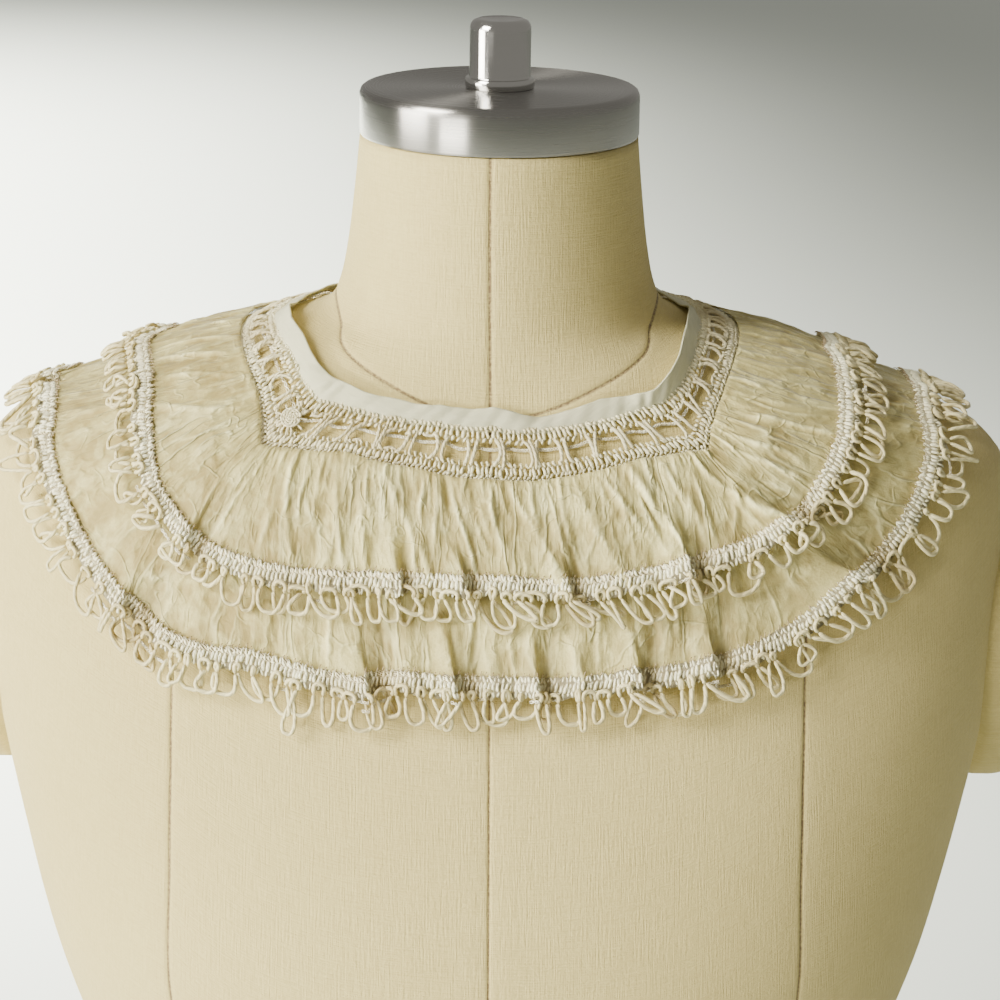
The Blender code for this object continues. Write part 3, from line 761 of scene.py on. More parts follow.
def cotton(name, colour, shade, ply=PLY):
    """Two-ply cotton: a groove slants between the plies; painted shade darkens the groove, the low
    side of a thread, and the strands and the hem's recesses.
    """
    finish = Finish(name, .72)
    u, v = finish.cloth_axes()
    groove = ((u * 2 + v / ply) * np.pi).sine().size()
    fibre = finish.clouds(1800, 2)
    cloud = finish.clouds(26, 3)
    # Painted shade on the low side of each thread, read round the thread from its own UV.
    painted_underside_shade = (u * (2 * np.pi)).sine().ramp(.60, -.50)
    # The cloud is the thread's own uneven tone; the rest is painted shade: in the groove between
    # the plies, on the low side of a thread, and on the strands and in the hem's recesses.
    tint = finish.coated(colour, (cloud.ramp(.42, .72) * .45, shade),
                         ((1 - groove.ramp(0, .45)) * .35, shade),
                         (painted_underside_shade * .36, darker(shade, .8)),
                         (finish.stored("painted_shade") * .65, PAINTED_SHADE_BROWN))
    finish.set(Base_Color=tint, Sheen_Weight=.2, Sheen_Roughness=.4, Specular_IOR_Level=.35)
    finish.relief(groove * 1.5 + fibre * .5, .00018, .7)
    return finish.material


def degrees_per_metre(t, column=INSERTION_SEAM):
    """Turn of t for each metre run along a seam."""
    turn = 0.2
    before, after = (collar_place(t + side * turn, seam(t, column), 0 * t)[0] for side in (-1, 1))
    return 2 * turn / np.linalg.norm(after - before, axis=-1)


def insertion_place(t, share, lift):
    """Point of the insertion: share runs from 0 at the binding to 1 at the tiers."""
    inner = seam(t, BINDING_SEAM) - OVER_BINDING
    outer = seam(t, INSERTION_SEAM) - SHORT_OF_TIERS
    return collar_place(t, inner + share * (outer - inner), INSERTION_LIFT + lift)


def ribs(place, middles, scale, near, far, lean, height, radius, zigzag, rng):
    """A row of short arched stitches from near to far; lean is how many metres each one slants."""
    size = (len(middles), 1)
    run = np.linspace(0, 1, RIB_RINGS)[None, :]
    if zigzag:
        lean = lean * (-1) ** np.arange(len(middles))[:, None]
    slant = lean * rng.uniform(.4, 1.7, size) + rng.normal(0, .00022, size)
    bow = rng.normal(0, .00022, size)
    t = middles[:, None] + scale[:, None] * (slant * (run - .5) + bow * np.sin(np.pi * run))
    reach = far - near
    near = near + reach * rng.normal(0, .07, size)
    far = far + reach * rng.normal(0, .07, size)
    arch = height * rng.uniform(.6, 1.25, size) * np.sin(np.pi * run) ** .7
    centres, outward = place(t, near + run * (far - near), arch)
    knot = 1 + rng.uniform(0, .45, size) * np.exp(-((run - rng.uniform(.2, .8, size)) / .2) ** 2)
    thick = radius * rng.uniform(.78, 1.1, size) * knot * (.75 + .25 * np.sin(np.pi * run))
    return threads(centres, outward, thick, 5)


# Rows of stitches in a rail, outwards from its open edge: pitch, near and far side as shares of
# the rail's width, lean, height, radius, and whether neighbours lean opposite ways.
RAIL_ROWS = ((.00210, -.10, .22, .0011, .0009, .00052, False),
             (.00172, .10, .74, .0005, .0008, .00062, True),
             (.00165, .62, .86, -.0010, .0008, .00050, False),
             (.00160, .80, 1.02, .0009, .0004, .00048, False))
STRAND = .00064
STRAND_RINGS = 12
STRAND_SHADE = .42                       # painted shade: how much darker the strands are than the rails, as they lie down in the holes
CROSSING, CROSSING_SLANT = .25, .0022   # share of the strands that slant across, and by how much
OVERLAID = .35                          # share of the bars with another strand slanting over them
CORNER_LOOPS = .5                       # share of the holes with a loop that closes a corner


def rail_meshes(t_from, t_to, rng):
    """Rows of ribbed stitches along both edges of one length of the insertion."""
    meshes = []
    for edge, column in ((0, BINDING_SEAM), (1, INSERTION_SEAM)):
        length = seam_run(np.linspace(t_from, t_to, 900), column)[-1]
        for pitch, near, far, *stitch in RAIL_ROWS:
            middles = spread(2 * int(length / pitch), (column,), t_from, t_to)[1::2]
            scale = degrees_per_metre(middles, column)
            near, far = (abs(edge - RAIL * (1 - share)) for share in (near, far))
            meshes.append(ribs(insertion_place, middles, scale, near, far, *stitch, rng))
    return meshes


def strand_meshes(t_from, t_to, count, rng):
    """Strands between the rails, two at each bar; they bow together and spread into the rails."""
    edges = spread(count, (BINDING_SEAM, INSERTION_SEAM), t_from, t_to)
    run = np.linspace(-.1, 1.1, STRAND_RINGS)[None, :]
    meshes = []
    for side in (-1, 1):
        bars = edges[:-1] if side > 0 else edges[1:]
        size = (len(bars), 1)
        scale = degrees_per_metre(bars)[:, None]
        flare = rng.uniform(.0002, .0022, size) * np.abs(2 * run - 1) ** rng.uniform(2.2, 4.5, size)
        slant = rng.normal(0, .0009, size)
        crossing = np.where(rng.uniform(0, 1, size) < CROSSING, CROSSING_SLANT, 0)
        slant = slant + crossing * rng.choice((-1, 1), size)
        bow = rng.normal(0, .0004, size) * np.sin(np.pi * run)
        offset = side * (STRAND * rng.uniform(1.0, 2.2, size) + flare) + slant * (run - .5) + bow
        t = bars[:, None] + scale * offset
        lift = .0004 + rng.uniform(0, .0007, size) + .0007 * np.sin(np.pi * np.clip(run, 0, 1))
        centres, outward = insertion_place(t, RAIL * .92 + run * (1 - RAIL * 1.84), lift)
        meshes.append(threads(centres, outward, STRAND * rng.uniform(.85, 1.15, size), 6))
    bars = edges[1:-1][rng.uniform(0, 1, count - 1) < OVERLAID][:, None]
    slant = rng.uniform(-.0040, .0040, bars.shape) * degrees_per_metre(bars)
    t = bars + slant * (run - .5) + .0009 * degrees_per_metre(bars) * np.sin(np.pi * run)
    lift = .0007 + .0012 * np.sin(np.pi * np.clip(run, 0, 1))
    centres, outward = insertion_place(t, RAIL * .8 + run * (1 - RAIL * 1.6), lift)
    meshes.append(threads(centres, outward, STRAND * .92, 6))
    holes = (edges[1:] + edges[:-1]) / 2
    chosen = holes[rng.uniform(0, 1, count) < CORNER_LOOPS][:, None]
    width = .0030 * degrees_per_metre(chosen) * rng.uniform(.6, 1, chosen.shape)
    turn = np.linspace(0, np.pi, 10)[None, :]
    top = rng.uniform(0, 1, chosen.shape) < .5
    share = np.where(top, RAIL * .9 + .06 * np.sin(turn), 1 - RAIL * .9 - .06 * np.sin(turn))
    t = chosen - width * np.cos(turn)
    centres, outward = insertion_place(t, share, .0008 + 0 * t)
    meshes.append(threads(centres, outward, STRAND * .85, 6))
    for mesh in meshes:
        # Painted shade on the strands, which lie down in the holes.
        mark(mesh, "painted_shade", np.full(len(mesh.vertices), STRAND_SHADE))
    return meshes


def chain(place, t_from, t_to, width, pitch, radius):
    """A fine shiny chain: two strands that cross over each other all the way."""
    ends = np.linspace(t_from, t_to, 400)
    length = run_along(place(ends, 0 * ends, 0 * ends)[0], 0)[-1]
    t = np.linspace(t_from, t_to, int(length / pitch * 6))
    phase = np.arange(len(t)) * np.pi / 3
    strands = [place(t, width * np.sin(phase + half), radius * .8 * np.cos(2 * phase + half))
               for half in (0, np.pi)]
    centres, outward = (np.array(part) for part in zip(*strands))
    return threads(centres, outward, radius, 4)


# The little woven wheel in the left front corner: its line and share across, and its rounds.
WHEEL_AT = (-58.5, .50)
WHEEL_ROUNDS = (.0008, .0017, .0026, .0034)
WHEEL_SPOKES = 9


def wheel():
    """Rounds of thread darned over spokes that reach from rail to rail."""
    line, share = WHEEL_AT
    middle, outward = (vector[0] for vector in insertion_place(np.array([line]), share, .0016))
    sideways = unit(np.cross((0, 0, 1), outward))
    upward = np.cross(outward, sideways)

    def disc(radius, turn, rise):
        radius, turn, rise = radius[..., None], turn[..., None], rise[..., None]
        return middle + radius * (np.cos(turn) * sideways + np.sin(turn) * upward) + rise * outward

    turn = np.linspace(0, 2 * np.pi, 30)[None, :]
    rounds = np.array(WHEEL_ROUNDS)[:, None] + 0 * turn
    weave = .0003 * np.cos(WHEEL_SPOKES * turn + np.pi * np.arange(len(WHEEL_ROUNDS))[:, None])
    faces = np.broadcast_to(outward, (len(WHEEL_ROUNDS), 30, 3))
    meshes = [threads(disc(rounds, turn + 0 * rounds, weave), faces, .00050, 5)]
    spokes = np.linspace(0, 2 * np.pi, WHEEL_SPOKES, endpoint=False)[:, None]
    reach = np.linspace(0, .0066, 7)[None, :] + 0 * spokes
    faces = np.broadcast_to(outward, (WHEEL_SPOKES, 7, 3))
    meshes.append(threads(disc(reach, spokes + 0 * reach, -.0002 - .12 * reach), faces, .00045, 5))
    return meshes


cream_cotton = cotton("Cream cotton", COTTON, COTTON_SHADE)
chain_silk = Finish("Shiny chain", .25)
glint = chain_silk.clouds(400).ramp(.35, .65)
chain_silk.set(Base_Color=chain_silk.mix(glint, CHAIN_PALE, CHAIN_SHADE), Coat_Weight=.6)
far_corner = 180 - CORNER
#             name, from, to, holes
INSERTIONS = (("front", -CORNER, CORNER, 13),
              ("left", -far_corner, -CORNER, 13),
              ("right", CORNER, far_corner, 13),
              ("back_left", -BACK_EDGE, -far_corner, 7),
              ("back_right", far_corner, BACK_EDGE, 7))
for number, (strip_name, t_from, t_to, holes) in enumerate(INSERTIONS):
    rng = np.random.default_rng(20 + number)
    meshes = rail_meshes(t_from, t_to, rng) + strand_meshes(t_from, t_to, holes, rng)
    if strip_name == "front":
        meshes += wheel()
    strip = finished("insertion_lace_" + strip_name, meshes, cream_cotton)
    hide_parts("insertion_" + strip_name)


def chain_place(t, side, lift):
    """The chain wanders a little above the middle of the holes."""
    share = .42 + side / .019 + waves(t, 40, seed=31, height=.025)
    return insertion_place(t, share, lift - .0002)


long_chain = chain(chain_place, -BACK_EDGE, BACK_EDGE, width=.00046, pitch=.0023, radius=.00029)
finished("insertion_chain", [long_chain], chain_silk.material)

# ================================================================ chiffon tiers
# Two flounces of cream silk chiffon, sheer enough to show what lies under them, gathered into
# the insertion. Age has mottled them, and the gathers fall in many fine uneven folds.


class Tier(NamedTuple):
    name: str
    hem: int                # column of SEAMS
    columns: int
    rows: int
    lift: tuple             # off the form, at the insertion and from LOOSE on
    gathers: tuple
    ruffles: tuple
    recesses: tuple
    creases: tuple
    cut: tuple              # flat length and width
    seed: int


LOOSE = .4                              # share down the tier from which it lies loose
RECESS_SHADE_FROM = .45                         # and from which its recesses carry painted shade
RECESS_DEPTH = .0022
TIER_TUCK = .0006                       # of its upper edge, behind the insertion's rail
HEM_SHORT = .0010                       # by which the chiffon ends above the hem, in the heading
CHIFFON_THICK = .00022
# Random gathers: metres between them, then the range of each one's start and length down the
# tier (shares), half width and height, and how far it wanders sideways.
UPPER_GATHERS = ((.0050, (-.2, .05), (.20, .60), (.0004, .0008), (.0002, .0006), .0020),
                 (.0080, (-.2, .55), (.30, .90), (.0004, .0008), (.0003, .0008), .0055),
                 (.0200, (-.2, .20), (.60, 1.3), (.0022, .0045), (.0003, .0009), .0040),
                 (.0110, (.45, .80), (.25, .60), (.0005, .0011), (.0002, .0007), .0030))
LOWER_GATHERS = ((.0110, (.30, .70), (.15, .45), (.0005, .0010), (.0002, .0006), .0045),
                 (.0220, (.35, .60), (.40, .80), (.0022, .0048), (.0004, .0010), .0050),
                 (.0120, (.65, .90), (.20, .50), (.0006, .0012), (.0003, .0008), .0030))
# How deep the gathers are along both tiers: line, share of their height.
GATHER_DEPTHS = (
    (-180, .8), (-140, 1.1), (-90, .7), (-62, .6), (-45, .8), (-20, .9), (-4, 1.3), (26, 1.4),
    (46, 1.2), (62, 1.0), (90, .7), (140, 1.1), (180, .8))
# How far the gathers drift sideways down to the hem: line, metres.
GATHER_DRIFTS = (
    (-180, .002), (-150, -.006), (-110, 0), (-56, .002), (-40, .008), (-24, .013), (0, .014),
    (30, .017), (44, .010), (54, .003), (62, .001), (110, 0), (150, .006), (180, .002))
# Ruffles of each hem: line, half width, height, how many degrees the crest leans over, share
# where it begins. A crest that leans further than it is wide folds the hem back under it.
UPPER_RUFFLES = (
    (-114, 3, .0026, 3.2, .3), (-92, 5, .0018, -1, .2), (-74, 4, .0014, .6, .3),
    (-59.2, .8, .0034, 1.2, .3), (-50, 4, .0014, .5, .2), (-38, 3, .0012, -.5, .3),
    (-25.5, 2.0, .0034, 3.1, .4), (-9.9, 2.2, .0038, 3.9, .35), (6, 4, .0012, .4, .3),
    (17.6, 2.0, .0032, 3.0, .4), (33, 4, .0016, .5, .3), (43.4, 2.2, .0042, 4.2, .2),
    (57.7, 1.0, .0048, 1.5, .0), (84, 6, .0016, -1, .2), (109, 3, .0028, 3.0, .3),
    (133, 6, .0016, 1, .2), (151, 2.6, .0030, 3.0, .3), (168, 5, .0018, -1, .2),
    (-137, 6, .0018, 1, .2), (-153, 2.6, .0030, 3.0, .3), (-170, 5, .0014, 1, .2))
LOWER_RUFFLES = (
    (-117, 4, .0026, 1, .6), (-96, 2.6, .0032, 3.0, .55), (-76, 4, .0020, .6, .6),
    (-60.2, .8, .0036, 1.2, .55), (-55, 3, .0016, .3, .6), (-43, 3, .0016, 0, .6),
    (-33.7, 2.1, .0038, 3.7, .5), (-20, 3, .0018, .6, .6), (-12.9, 2.3, .0042, 4.6, .5),
    (2, 3, .0014, .3, .6), (10.8, 1.9, .0036, 3.2, .5), (24, 3, .0016, .4, .6),
    (33.2, 2.1, .0038, 3.9, .5), (48.8, 1.2, .0034, 1.9, .5), (58.2, 1.0, .0046, 1.6, .35),
    (88, 5, .0024, -1, .6), (112, 2.6, .0032, 3.0, .5), (139, 5, .0022, -1, .6),
    (158, 2.5, .0034, 3.4, .5), (172, 4, .0018, 0, .6), (-140, 2.6, .0034, 3.2, .5),
    (-160, 5, .0022, 1, .6))
# Where the hem goes back between two ruffles, with painted shade laid on it there: line, half
# width.
UPPER_RECESSES = (
    (-57.0, .6), (-21.3, 2.2), (-3.8, 2.1), (22.8, 1.9), (49.8, 1.6), (60.2, .7), (113.5, 2.4),
    (155.5, 2.4), (-109, 2.2), (-148.5, 2.4))
LOWER_RECESSES = (
    (-58.2, .7), (-27.3, 2.5), (-4.4, 3.4), (16.3, 2.0), (39.4, 2.1), (52.0, .9), (61.0, .7),
    (116.5, 2.2), (163, 2.6), (-91.5, 2.2), (-135.5, 2.4))
# Main creases, which the back has again, mirrored: line at the insertion and at the hem, where
# it starts and ends down the tier (shares), half width, and height, less than 0 for a trough.
UPPER_CREASES = (
    (-52, -52.5, 0, .9, .0008, .0013), (-50.5, -46.5, 0, 1, .0009, .0012),
    (-47, -43.5, .1, .9, .0008, .0012), (-43, -40, 0, .8, .0007, .0009),
    (-40, -34, 0, 1, .0009, .0013), (-35, -30, .2, 1, .0014, .0014),
    (-32, -28, 0, .7, .0008, .0010), (-27, -17.5, 0, 1, .0010, .0016),
    (-23, -15.5, .5, 1.2, .0012, .0014), (-20, -13, 0, .6, .0007, .0009),
    (-16, -13, 0, .7, .0009, .0011), (-12.5, -6.5, 0, .9, .0014, -.0013),
    (-11, -3.5, .1, 1, .0010, .0015), (-7.5, 3.5, 0, .8, .0008, .0012),
    (-3, 5.5, .1, .9, .0007, .0010), (2, 11.5, 0, 1, .0010, .0018), (6, 18.5, 0, 1, .0009, .0014),
    (10, 19, 0, .6, .0007, .0010), (14.5, 23.5, .1, .8, .0008, .0012),
    (18, 25, 0, 1, .0010, .0014), (22.4, 32, .1, .8, .0008, .0013), (27, 38, 0, .9, .0009, .0013),
    (28.5, 46.5, 0, 1, .0011, .0019), (34, 50.5, 0, 1, .0012, .0020),
    (32.4, 49, .1, 1, .0010, -.0014), (39, 50, 0, .5, .0008, .0011),
    (44, 53.5, 0, .6, .0010, .0014), (48, 55, 0, .5, .0008, .0012),
    (57.5, 54, .3, 1, .0009, .0013), (57, 56.5, .4, 1, .0009, .0010),
    (52.5, 59.4, 0, 1.2, .0014, .0027), (56, 60.4, 0, 1.2, .0013, -.0018),
    (61, 61.5, 0, 1, .0010, .0015), (62.2, 62.4, .1, .9, .0009, .0013),
    (63.5, 64, 0, .7, .0010, .0013), (65, 66, .2, 1, .0010, .0014), (68, 69, 0, .8, .0010, .0012),
    (71, 74, 0, .9, .0012, .0012), (75, 79, 0, .8, .0012, .0011), (82, 84, .1, 1, .0014, .0013),
    (90, 91, 0, .9, .0013, .0012), (-63, -69, 0, 1, .0010, .0012), (-68, -75, 0, .8, .0009, .0013),
    (-74, -80, .1, 1, .0011, .0012), (-81, -85, 0, .9, .0010, .0012),
    (-88, -90, 0, .8, .0011, .0011))
LOWER_CREASES = (
    (-49, -50, .4, 1, .0011, .0010), (-38, -37, .5, 1, .0010, .0011),
    (-27, -26, .45, .95, .0010, .0010), (-17, -19, .5, 1, .0009, .0011),
    (-6, -5, .5, 1, .0009, .0010), (9, 10, .5, .9, .0010, .0011), (15, 17, .45, 1, .0008, .0010),
    (27, 29, .5, 1, .0010, .0012), (44, 46, .5, 1, .0010, .0011), (68, 72, .4, 1, .0014, .0013),
    (76, 79, .4, .9, .0013, .0011), (-66, -72, .4, 1, .0014, .0011),
    (-78, -81, .4, .9, .0013, .0011))
UPPER = Tier("upper", UPPER_HEM, columns=1700, rows=26, lift=(.0030, .0050), gathers=UPPER_GATHERS,
             ruffles=UPPER_RUFFLES, recesses=UPPER_RECESSES, creases=UPPER_CREASES,
             cut=(.92, .046), seed=3)
LOWER = Tier("lower", LOWER_HEM, columns=1400, rows=32, lift=(.0012, .0030), gathers=LOWER_GATHERS,
             ruffles=LOWER_RUFFLES, recesses=LOWER_RECESSES, creases=LOWER_CREASES,
             cut=(.99, .083), seed=5)
SHARPEST_CREST = 1800                   # bend at which a crest is palest, in a metre's inverse
SHARPEST_VALLEY = 1500
SILK_COVER = .54                        # how much one flat layer hides
SILK = (.89, .80, .345)
# The silk's own stain colour, also used for the painted shade of its sides and valleys.
SILK_STAIN_AND_SHADE = (.48, .38, .13)
# The silk's own paler tone, and the painted highlight on crests and crumples.
SILK_PALE_AND_HIGHLIGHT = (.93, .885, .46)
# Painted shade in the hem's recesses.
SILK_RECESS_SHADE = (.25, .175, .06)
# Painted shade that darkens the silk away from the front, most at the left side: line, share.
SILK_SIDE_SHADE = (
    (-180, .3), (-110, .45), (-80, .70), (-62, .64), (-50, .36), (-38, .10), (-8, .12), (20, .05),
    (48, .10), (60, .40), (80, .35), (110, .40), (180, .3))


def share_down(tier, t, distance):
    """0 at a tier's upper edge, 1 at its hem."""
    top = seam(t, INSERTION_SEAM)
    return (distance - top) / (seam(t, tier.hem) - top)


def ruffled(tier, t, distance):
    """Where the hem's ruffles carry a point of a tier: its line on the form, its height off it."""
    share = share_down(tier, t, distance)
    rise = np.interp(share, (0, LOOSE), tier.lift)
    slide = 0 * t
    for line, half_width, height, lean, begins in tier.ruffles:
        grown = np.clip((share - begins) / (1 - begins), 0, 1) ** 1.5
        swell = np.exp(-((t - line) / half_width) ** 2) * grown
        rise = rise + height * swell
        slide = slide + lean * swell
    sunk = np.clip((share - LOOSE) / (1 - LOOSE), 0, 1)
    return t + slide, rise - RECESS_DEPTH * recessed(tier, t) * sunk


def recessed(tier, t):
    """How deep the lines t lie in a recess of the hem, 0 to 1."""
    return bumps(t, [(*recess, 1) for recess in tier.recesses]).clip(0, 1)


def tier_place(tier, t, distance, lift):
    """Point of a tier with its ruffles, and the form's outward direction there."""
    line, rise = ruffled(tier, t, distance)
    return collar_place(line, distance, rise + lift)


def folds(tier, t, run, share):
    """Height of the gathers and creases; run is the distance round the tier in metres."""
    rng = np.random.default_rng(tier.seed)
    height = 0 * run * share

    def ridge(middle, start, end, half_width, tall):
        """Add one ridge to the height; middle is where it runs, row by row."""
        fade = np.clip((share - start) / .12, 0, 1) * np.clip((end - share) / .25, 0, 1)
        near = np.abs(run[0] - middle.mean()) < np.ptp(middle) + 4 * half_width
        height[:, near] += tall * fade * np.exp(-((run[:, near] - middle) / half_width) ** 2)

    def ripple(least, most):
        """A slow wave down the tier, of least to most radians."""
        return np.sin(share * rng.uniform(least, most) + rng.uniform(0, 6))

    for spacing, starts, lengths, half_widths, heights, strays in tier.gathers:
        count = int(run[0, -1] / spacing)
        for place in (np.arange(count) + rng.uniform(.05, .95, count)) * spacing:
            start = rng.uniform(*starts)
            bend = rng.uniform(.0002, .0016) * ripple(3, 10)
            line = np.interp(place, run[0], t[0])
            depth = np.interp(line, *zip(*GATHER_DEPTHS))
            wander = np.interp(line, *zip(*GATHER_DRIFTS)) + rng.normal(0, strays)
            ridge(place + wander * share ** 1.2 + bend, start, start + rng.uniform(*lengths),
                  rng.uniform(*half_widths), depth * rng.uniform(*heights))
    for at_top, at_hem, starts, ends, half_width, tall in tier.creases:
        back = np.sign(at_top) * 180
        for lines in ((at_top, at_hem), (back - at_top, back - at_hem)):
            top, hem = np.interp(lines, t[0], run[0])
            bend = rng.uniform(.0004, .0020) * ripple(2, 9)
            swell = rng.uniform(.30, .85) - .3 * ripple(3, 8)
            ridge(top + (hem - top) * share + bend, starts, ends,
                  half_width * rng.uniform(.8, 1.5), tall * swell)
    return height


def tier_mesh(tier):
    """One flounce, from its edge behind the rail to its hem, and the marks for its chiffon."""
    t = spread(tier.columns, (INSERTION_SEAM, tier.hem))[None, :]
    share = np.linspace(0, 1, tier.rows)[::-1, None]
    top = seam(t, INSERTION_SEAM) - TIER_TUCK
    bottom = seam(t, tier.hem) - HEM_SHORT
    distance = top + share * (bottom - top)
    run = run_along(tier_place(tier, t, distance[len(share) // 2][None], 0 * t)[0], 1)
    height = folds(tier, t, run, share)
    height += waves(t + 4 * share, 70, seed=tier.seed + 40, height=.0003) * share
    points, _ = tier_place(tier, t + 0 * share, distance, height)
    mesh = grid_mesh(points, np.stack([run + 0 * share, distance], -1))
    step = np.maximum(np.gradient(run, axis=1), 1e-4)
    slope = np.gradient(height, axis=1) / step
    bend = np.gradient(slope, axis=1) / step
    # Crests: the chiffon is more opaque there and gets a painted highlight.
    mark(mesh, "crest", np.clip(-bend / SHARPEST_CREST, 0, 1))
    # Valleys of the folds, darkened in the chiffon's colour as painted shade.
    mark(mesh, "valley", np.clip(bend / SHARPEST_VALLEY, 0, 1))
    # Painted shade in the recesses, from partway down the tier to the hem.
    painted_shade = np.clip((share - RECESS_SHADE_FROM) / (1 - RECESS_SHADE_FROM), 0, 1)
    mark(mesh, "painted_shade", recessed(tier, t) * painted_shade)
    # Painted shade away from the front, most at the left side.
    mark(mesh, "painted_side_shade", np.interp(t, *zip(*SILK_SIDE_SHADE)) + 0 * share)
    mark(mesh, "steep", np.clip(np.abs(slope), 0, 1))
    return mesh


def chiffon(name):
    """Crumpled sheer silk, opaque where it folds and mottled in soft clouds, with painted highlight
    on its crests and crumples and painted shade in its valleys, recesses and sides.
    """
    finish = Finish(name, .6)
    u, v = finish.cloth_axes()
    warp = finish.on_cloth(u * 70, v * 70, 2) * 1.6

    def facet(across, down):
        """Distance from the middles of the flat places between crumples."""
        spot = finish.spot(u * across + warp, v * down + warp)
        return finish.add("TexVoronoi", {"feature": "F1"}, {"Vector": spot, "Scale": 1}, "Distance")

    facets, small_facets = facet(170, 75), facet(400, 210)
    thread = finish.on_cloth(u * 1500, v * 160, 2, .6)
    grain = finish.clouds(1300, 2, .6)
    cloud = finish.clouds(30, 4, .62)
    small = finish.clouds(120, 3, .6)
    crest = finish.stored("crest")
    # Painted shade away from the front, varied by a small noise.
    painted_side_shade = finish.stored("painted_side_shade") * (.55 + small.ramp(.35, .65) * .5)

    def crumples(across, down, width, offset, lowest):
        """Soft raised lines, where a noise passes its middle; another fades them in and out."""
        field = finish.on_cloth(u * across + warp * .35 + offset, v * down + warp * .15, 1)
        faded = finish.on_cloth(u * across * .6 + offset, v * down * .8, 1)
        return (field - .5).size().ramp(width, 0) * faded.ramp(lowest, .66)

    long_lines = crumples(150, 26, .060, 3, .40)
    cross_lines = crumples(120, 120, .050, 8, .46)
    small_lines = crumples(380, 110, .10, 5, .40)
    # The crumple lines and facet edges are more opaque and get a painted highlight.
    edges = facets.ramp(.50, .80) * .12 + long_lines * .46 + cross_lines * .26 + small_lines * .16
    # Painted shade in the valleys, the recesses and away from the front; the clouds, small spots
    # and grain are the silk's own mottle.
    colour = finish.coated(SILK, (cloud.ramp(.44, .64) * .62 + painted_side_shade, SILK_STAIN_AND_SHADE),
                           (small.ramp(.45, .72) * .36, SILK_STAIN_AND_SHADE),
                           (small.ramp(.50, .30) * .25, SILK_PALE_AND_HIGHLIGHT),
                           (grain.ramp(.42, .66) * .30, SILK_STAIN_AND_SHADE),
                           (finish.stored("valley") * .55, SILK_STAIN_AND_SHADE),
                           (finish.stored("painted_shade") * .60, SILK_RECESS_SHADE),
                           ((crest * .60 + edges).least(1), SILK_PALE_AND_HIGHLIGHT))
    cover = SILK_COVER + finish.stored("steep") * .25 + crest * .25 + edges * .25
    cover = cover + thread.ramp(.5, .75) * .08
    finish.set(Base_Color=colour, Alpha=cover.least(.97), Sheen_Weight=.2, Sheen_Roughness=.35,
               Specular_IOR_Level=.4)
    relief = facets * .55 + small_facets * .30 + thread * .12 + grain * .09
    relief = relief + long_lines * .30 + cross_lines * .18 + small_lines * .12
    finish.relief(relief, .0022)
    return finish.material


for tier in (LOWER, UPPER):
    silk = chiffon("Silk chiffon " + tier.name)
    cloth = finished("chiffon_" + tier.name, [tier_mesh(tier)], silk)
    thicken(cloth, CHIFFON_THICK)
    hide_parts("tier_" + tier.name)

# ================================================================ crochet trims
# Each hem is finished with a cotton heading of ribbed stitches over a narrow tape, whipped to
# the chiffon with small stitches. From it hangs a crowded fringe of loops in one smooth thick
# thread, and the fine shiny chain shows here and there at their roots.

LOOP_SPACING = .0058
LOOP_THREAD = .00076
LOOP_TURN = np.pi * np.linspace(0, 1, 24)   # the rings of a loop, from foot to foot
LOOP_ROOT = -.0008                      # above the hem
LOOP_WIDER = 1.22                       # than LOOP_WAYS has them
LOOP_LENGTHS = (.72, 1.22)              # least and most, times what LOOP_WAYS has
LOOP_WIDTHS = (.65, 1.40)
LOOP_STRAY = .30                        # of their leans
# A loop's feet stand open, close or crossed: the share of loops up to each kind, and least and
# most distance between the feet, times the loop's width.
LOOP_FEET = ((.6, .5, 1.05), (.85, .05, .5), (1, -.45, 0))
OVERLAP = .0011                         # by which every other loop lies over its neighbours
LOOP_SINKS = .011                       # how far below the hem a loop lies down on what is there
ARCH_RINGS = 11
WIDEST_ARCH = .0080
ARCH_OVERLAP = .35                      # how far its ends run on into the loops, radians
# Rows of stitches in the heading, upwards from the hem, as RAIL_ROWS has them; near and far in
# metres above the hem.
HEADING_ROWS = ((.00160, -.0004, .0028, -.0008, .0008, .00052, True),
                (.00156, .0016, .0056, .0008, .0012, .00064, False),
                (.00140, .0046, .0076, .0009, .0008, .00050, True))
TAPE = (.0002, .0070)                   # lower and upper edge, above the hem
TAPE_PITCH = .0008
TAPE_THICK = .0003
WHIP_PITCH = .0023
WHIP_THREAD = .00018
GLIMPSES = 26                           # of the chain, along each hem
TRIM_LIFT = .0006                       # off the chiffon
HEADING_PALE, HEADING_SHADE = (.98, .955, .68), (.78, .69, .42)
# The tape is darker than the ribs over it, partly as painted shade in the gaps between them.
TAPE_COLOUR, TAPE_SHADE = (.76, .68, .42), (.42, .33, .16)
LOOP_COLOUR, LOOP_SHADE = (.79, .71, .39), (.48, .37, .16)
LOOP_PLY = .0034
WHIP_COLOUR, WHIP_PALE = (.30, .21, .10), (.55, .45, .27)
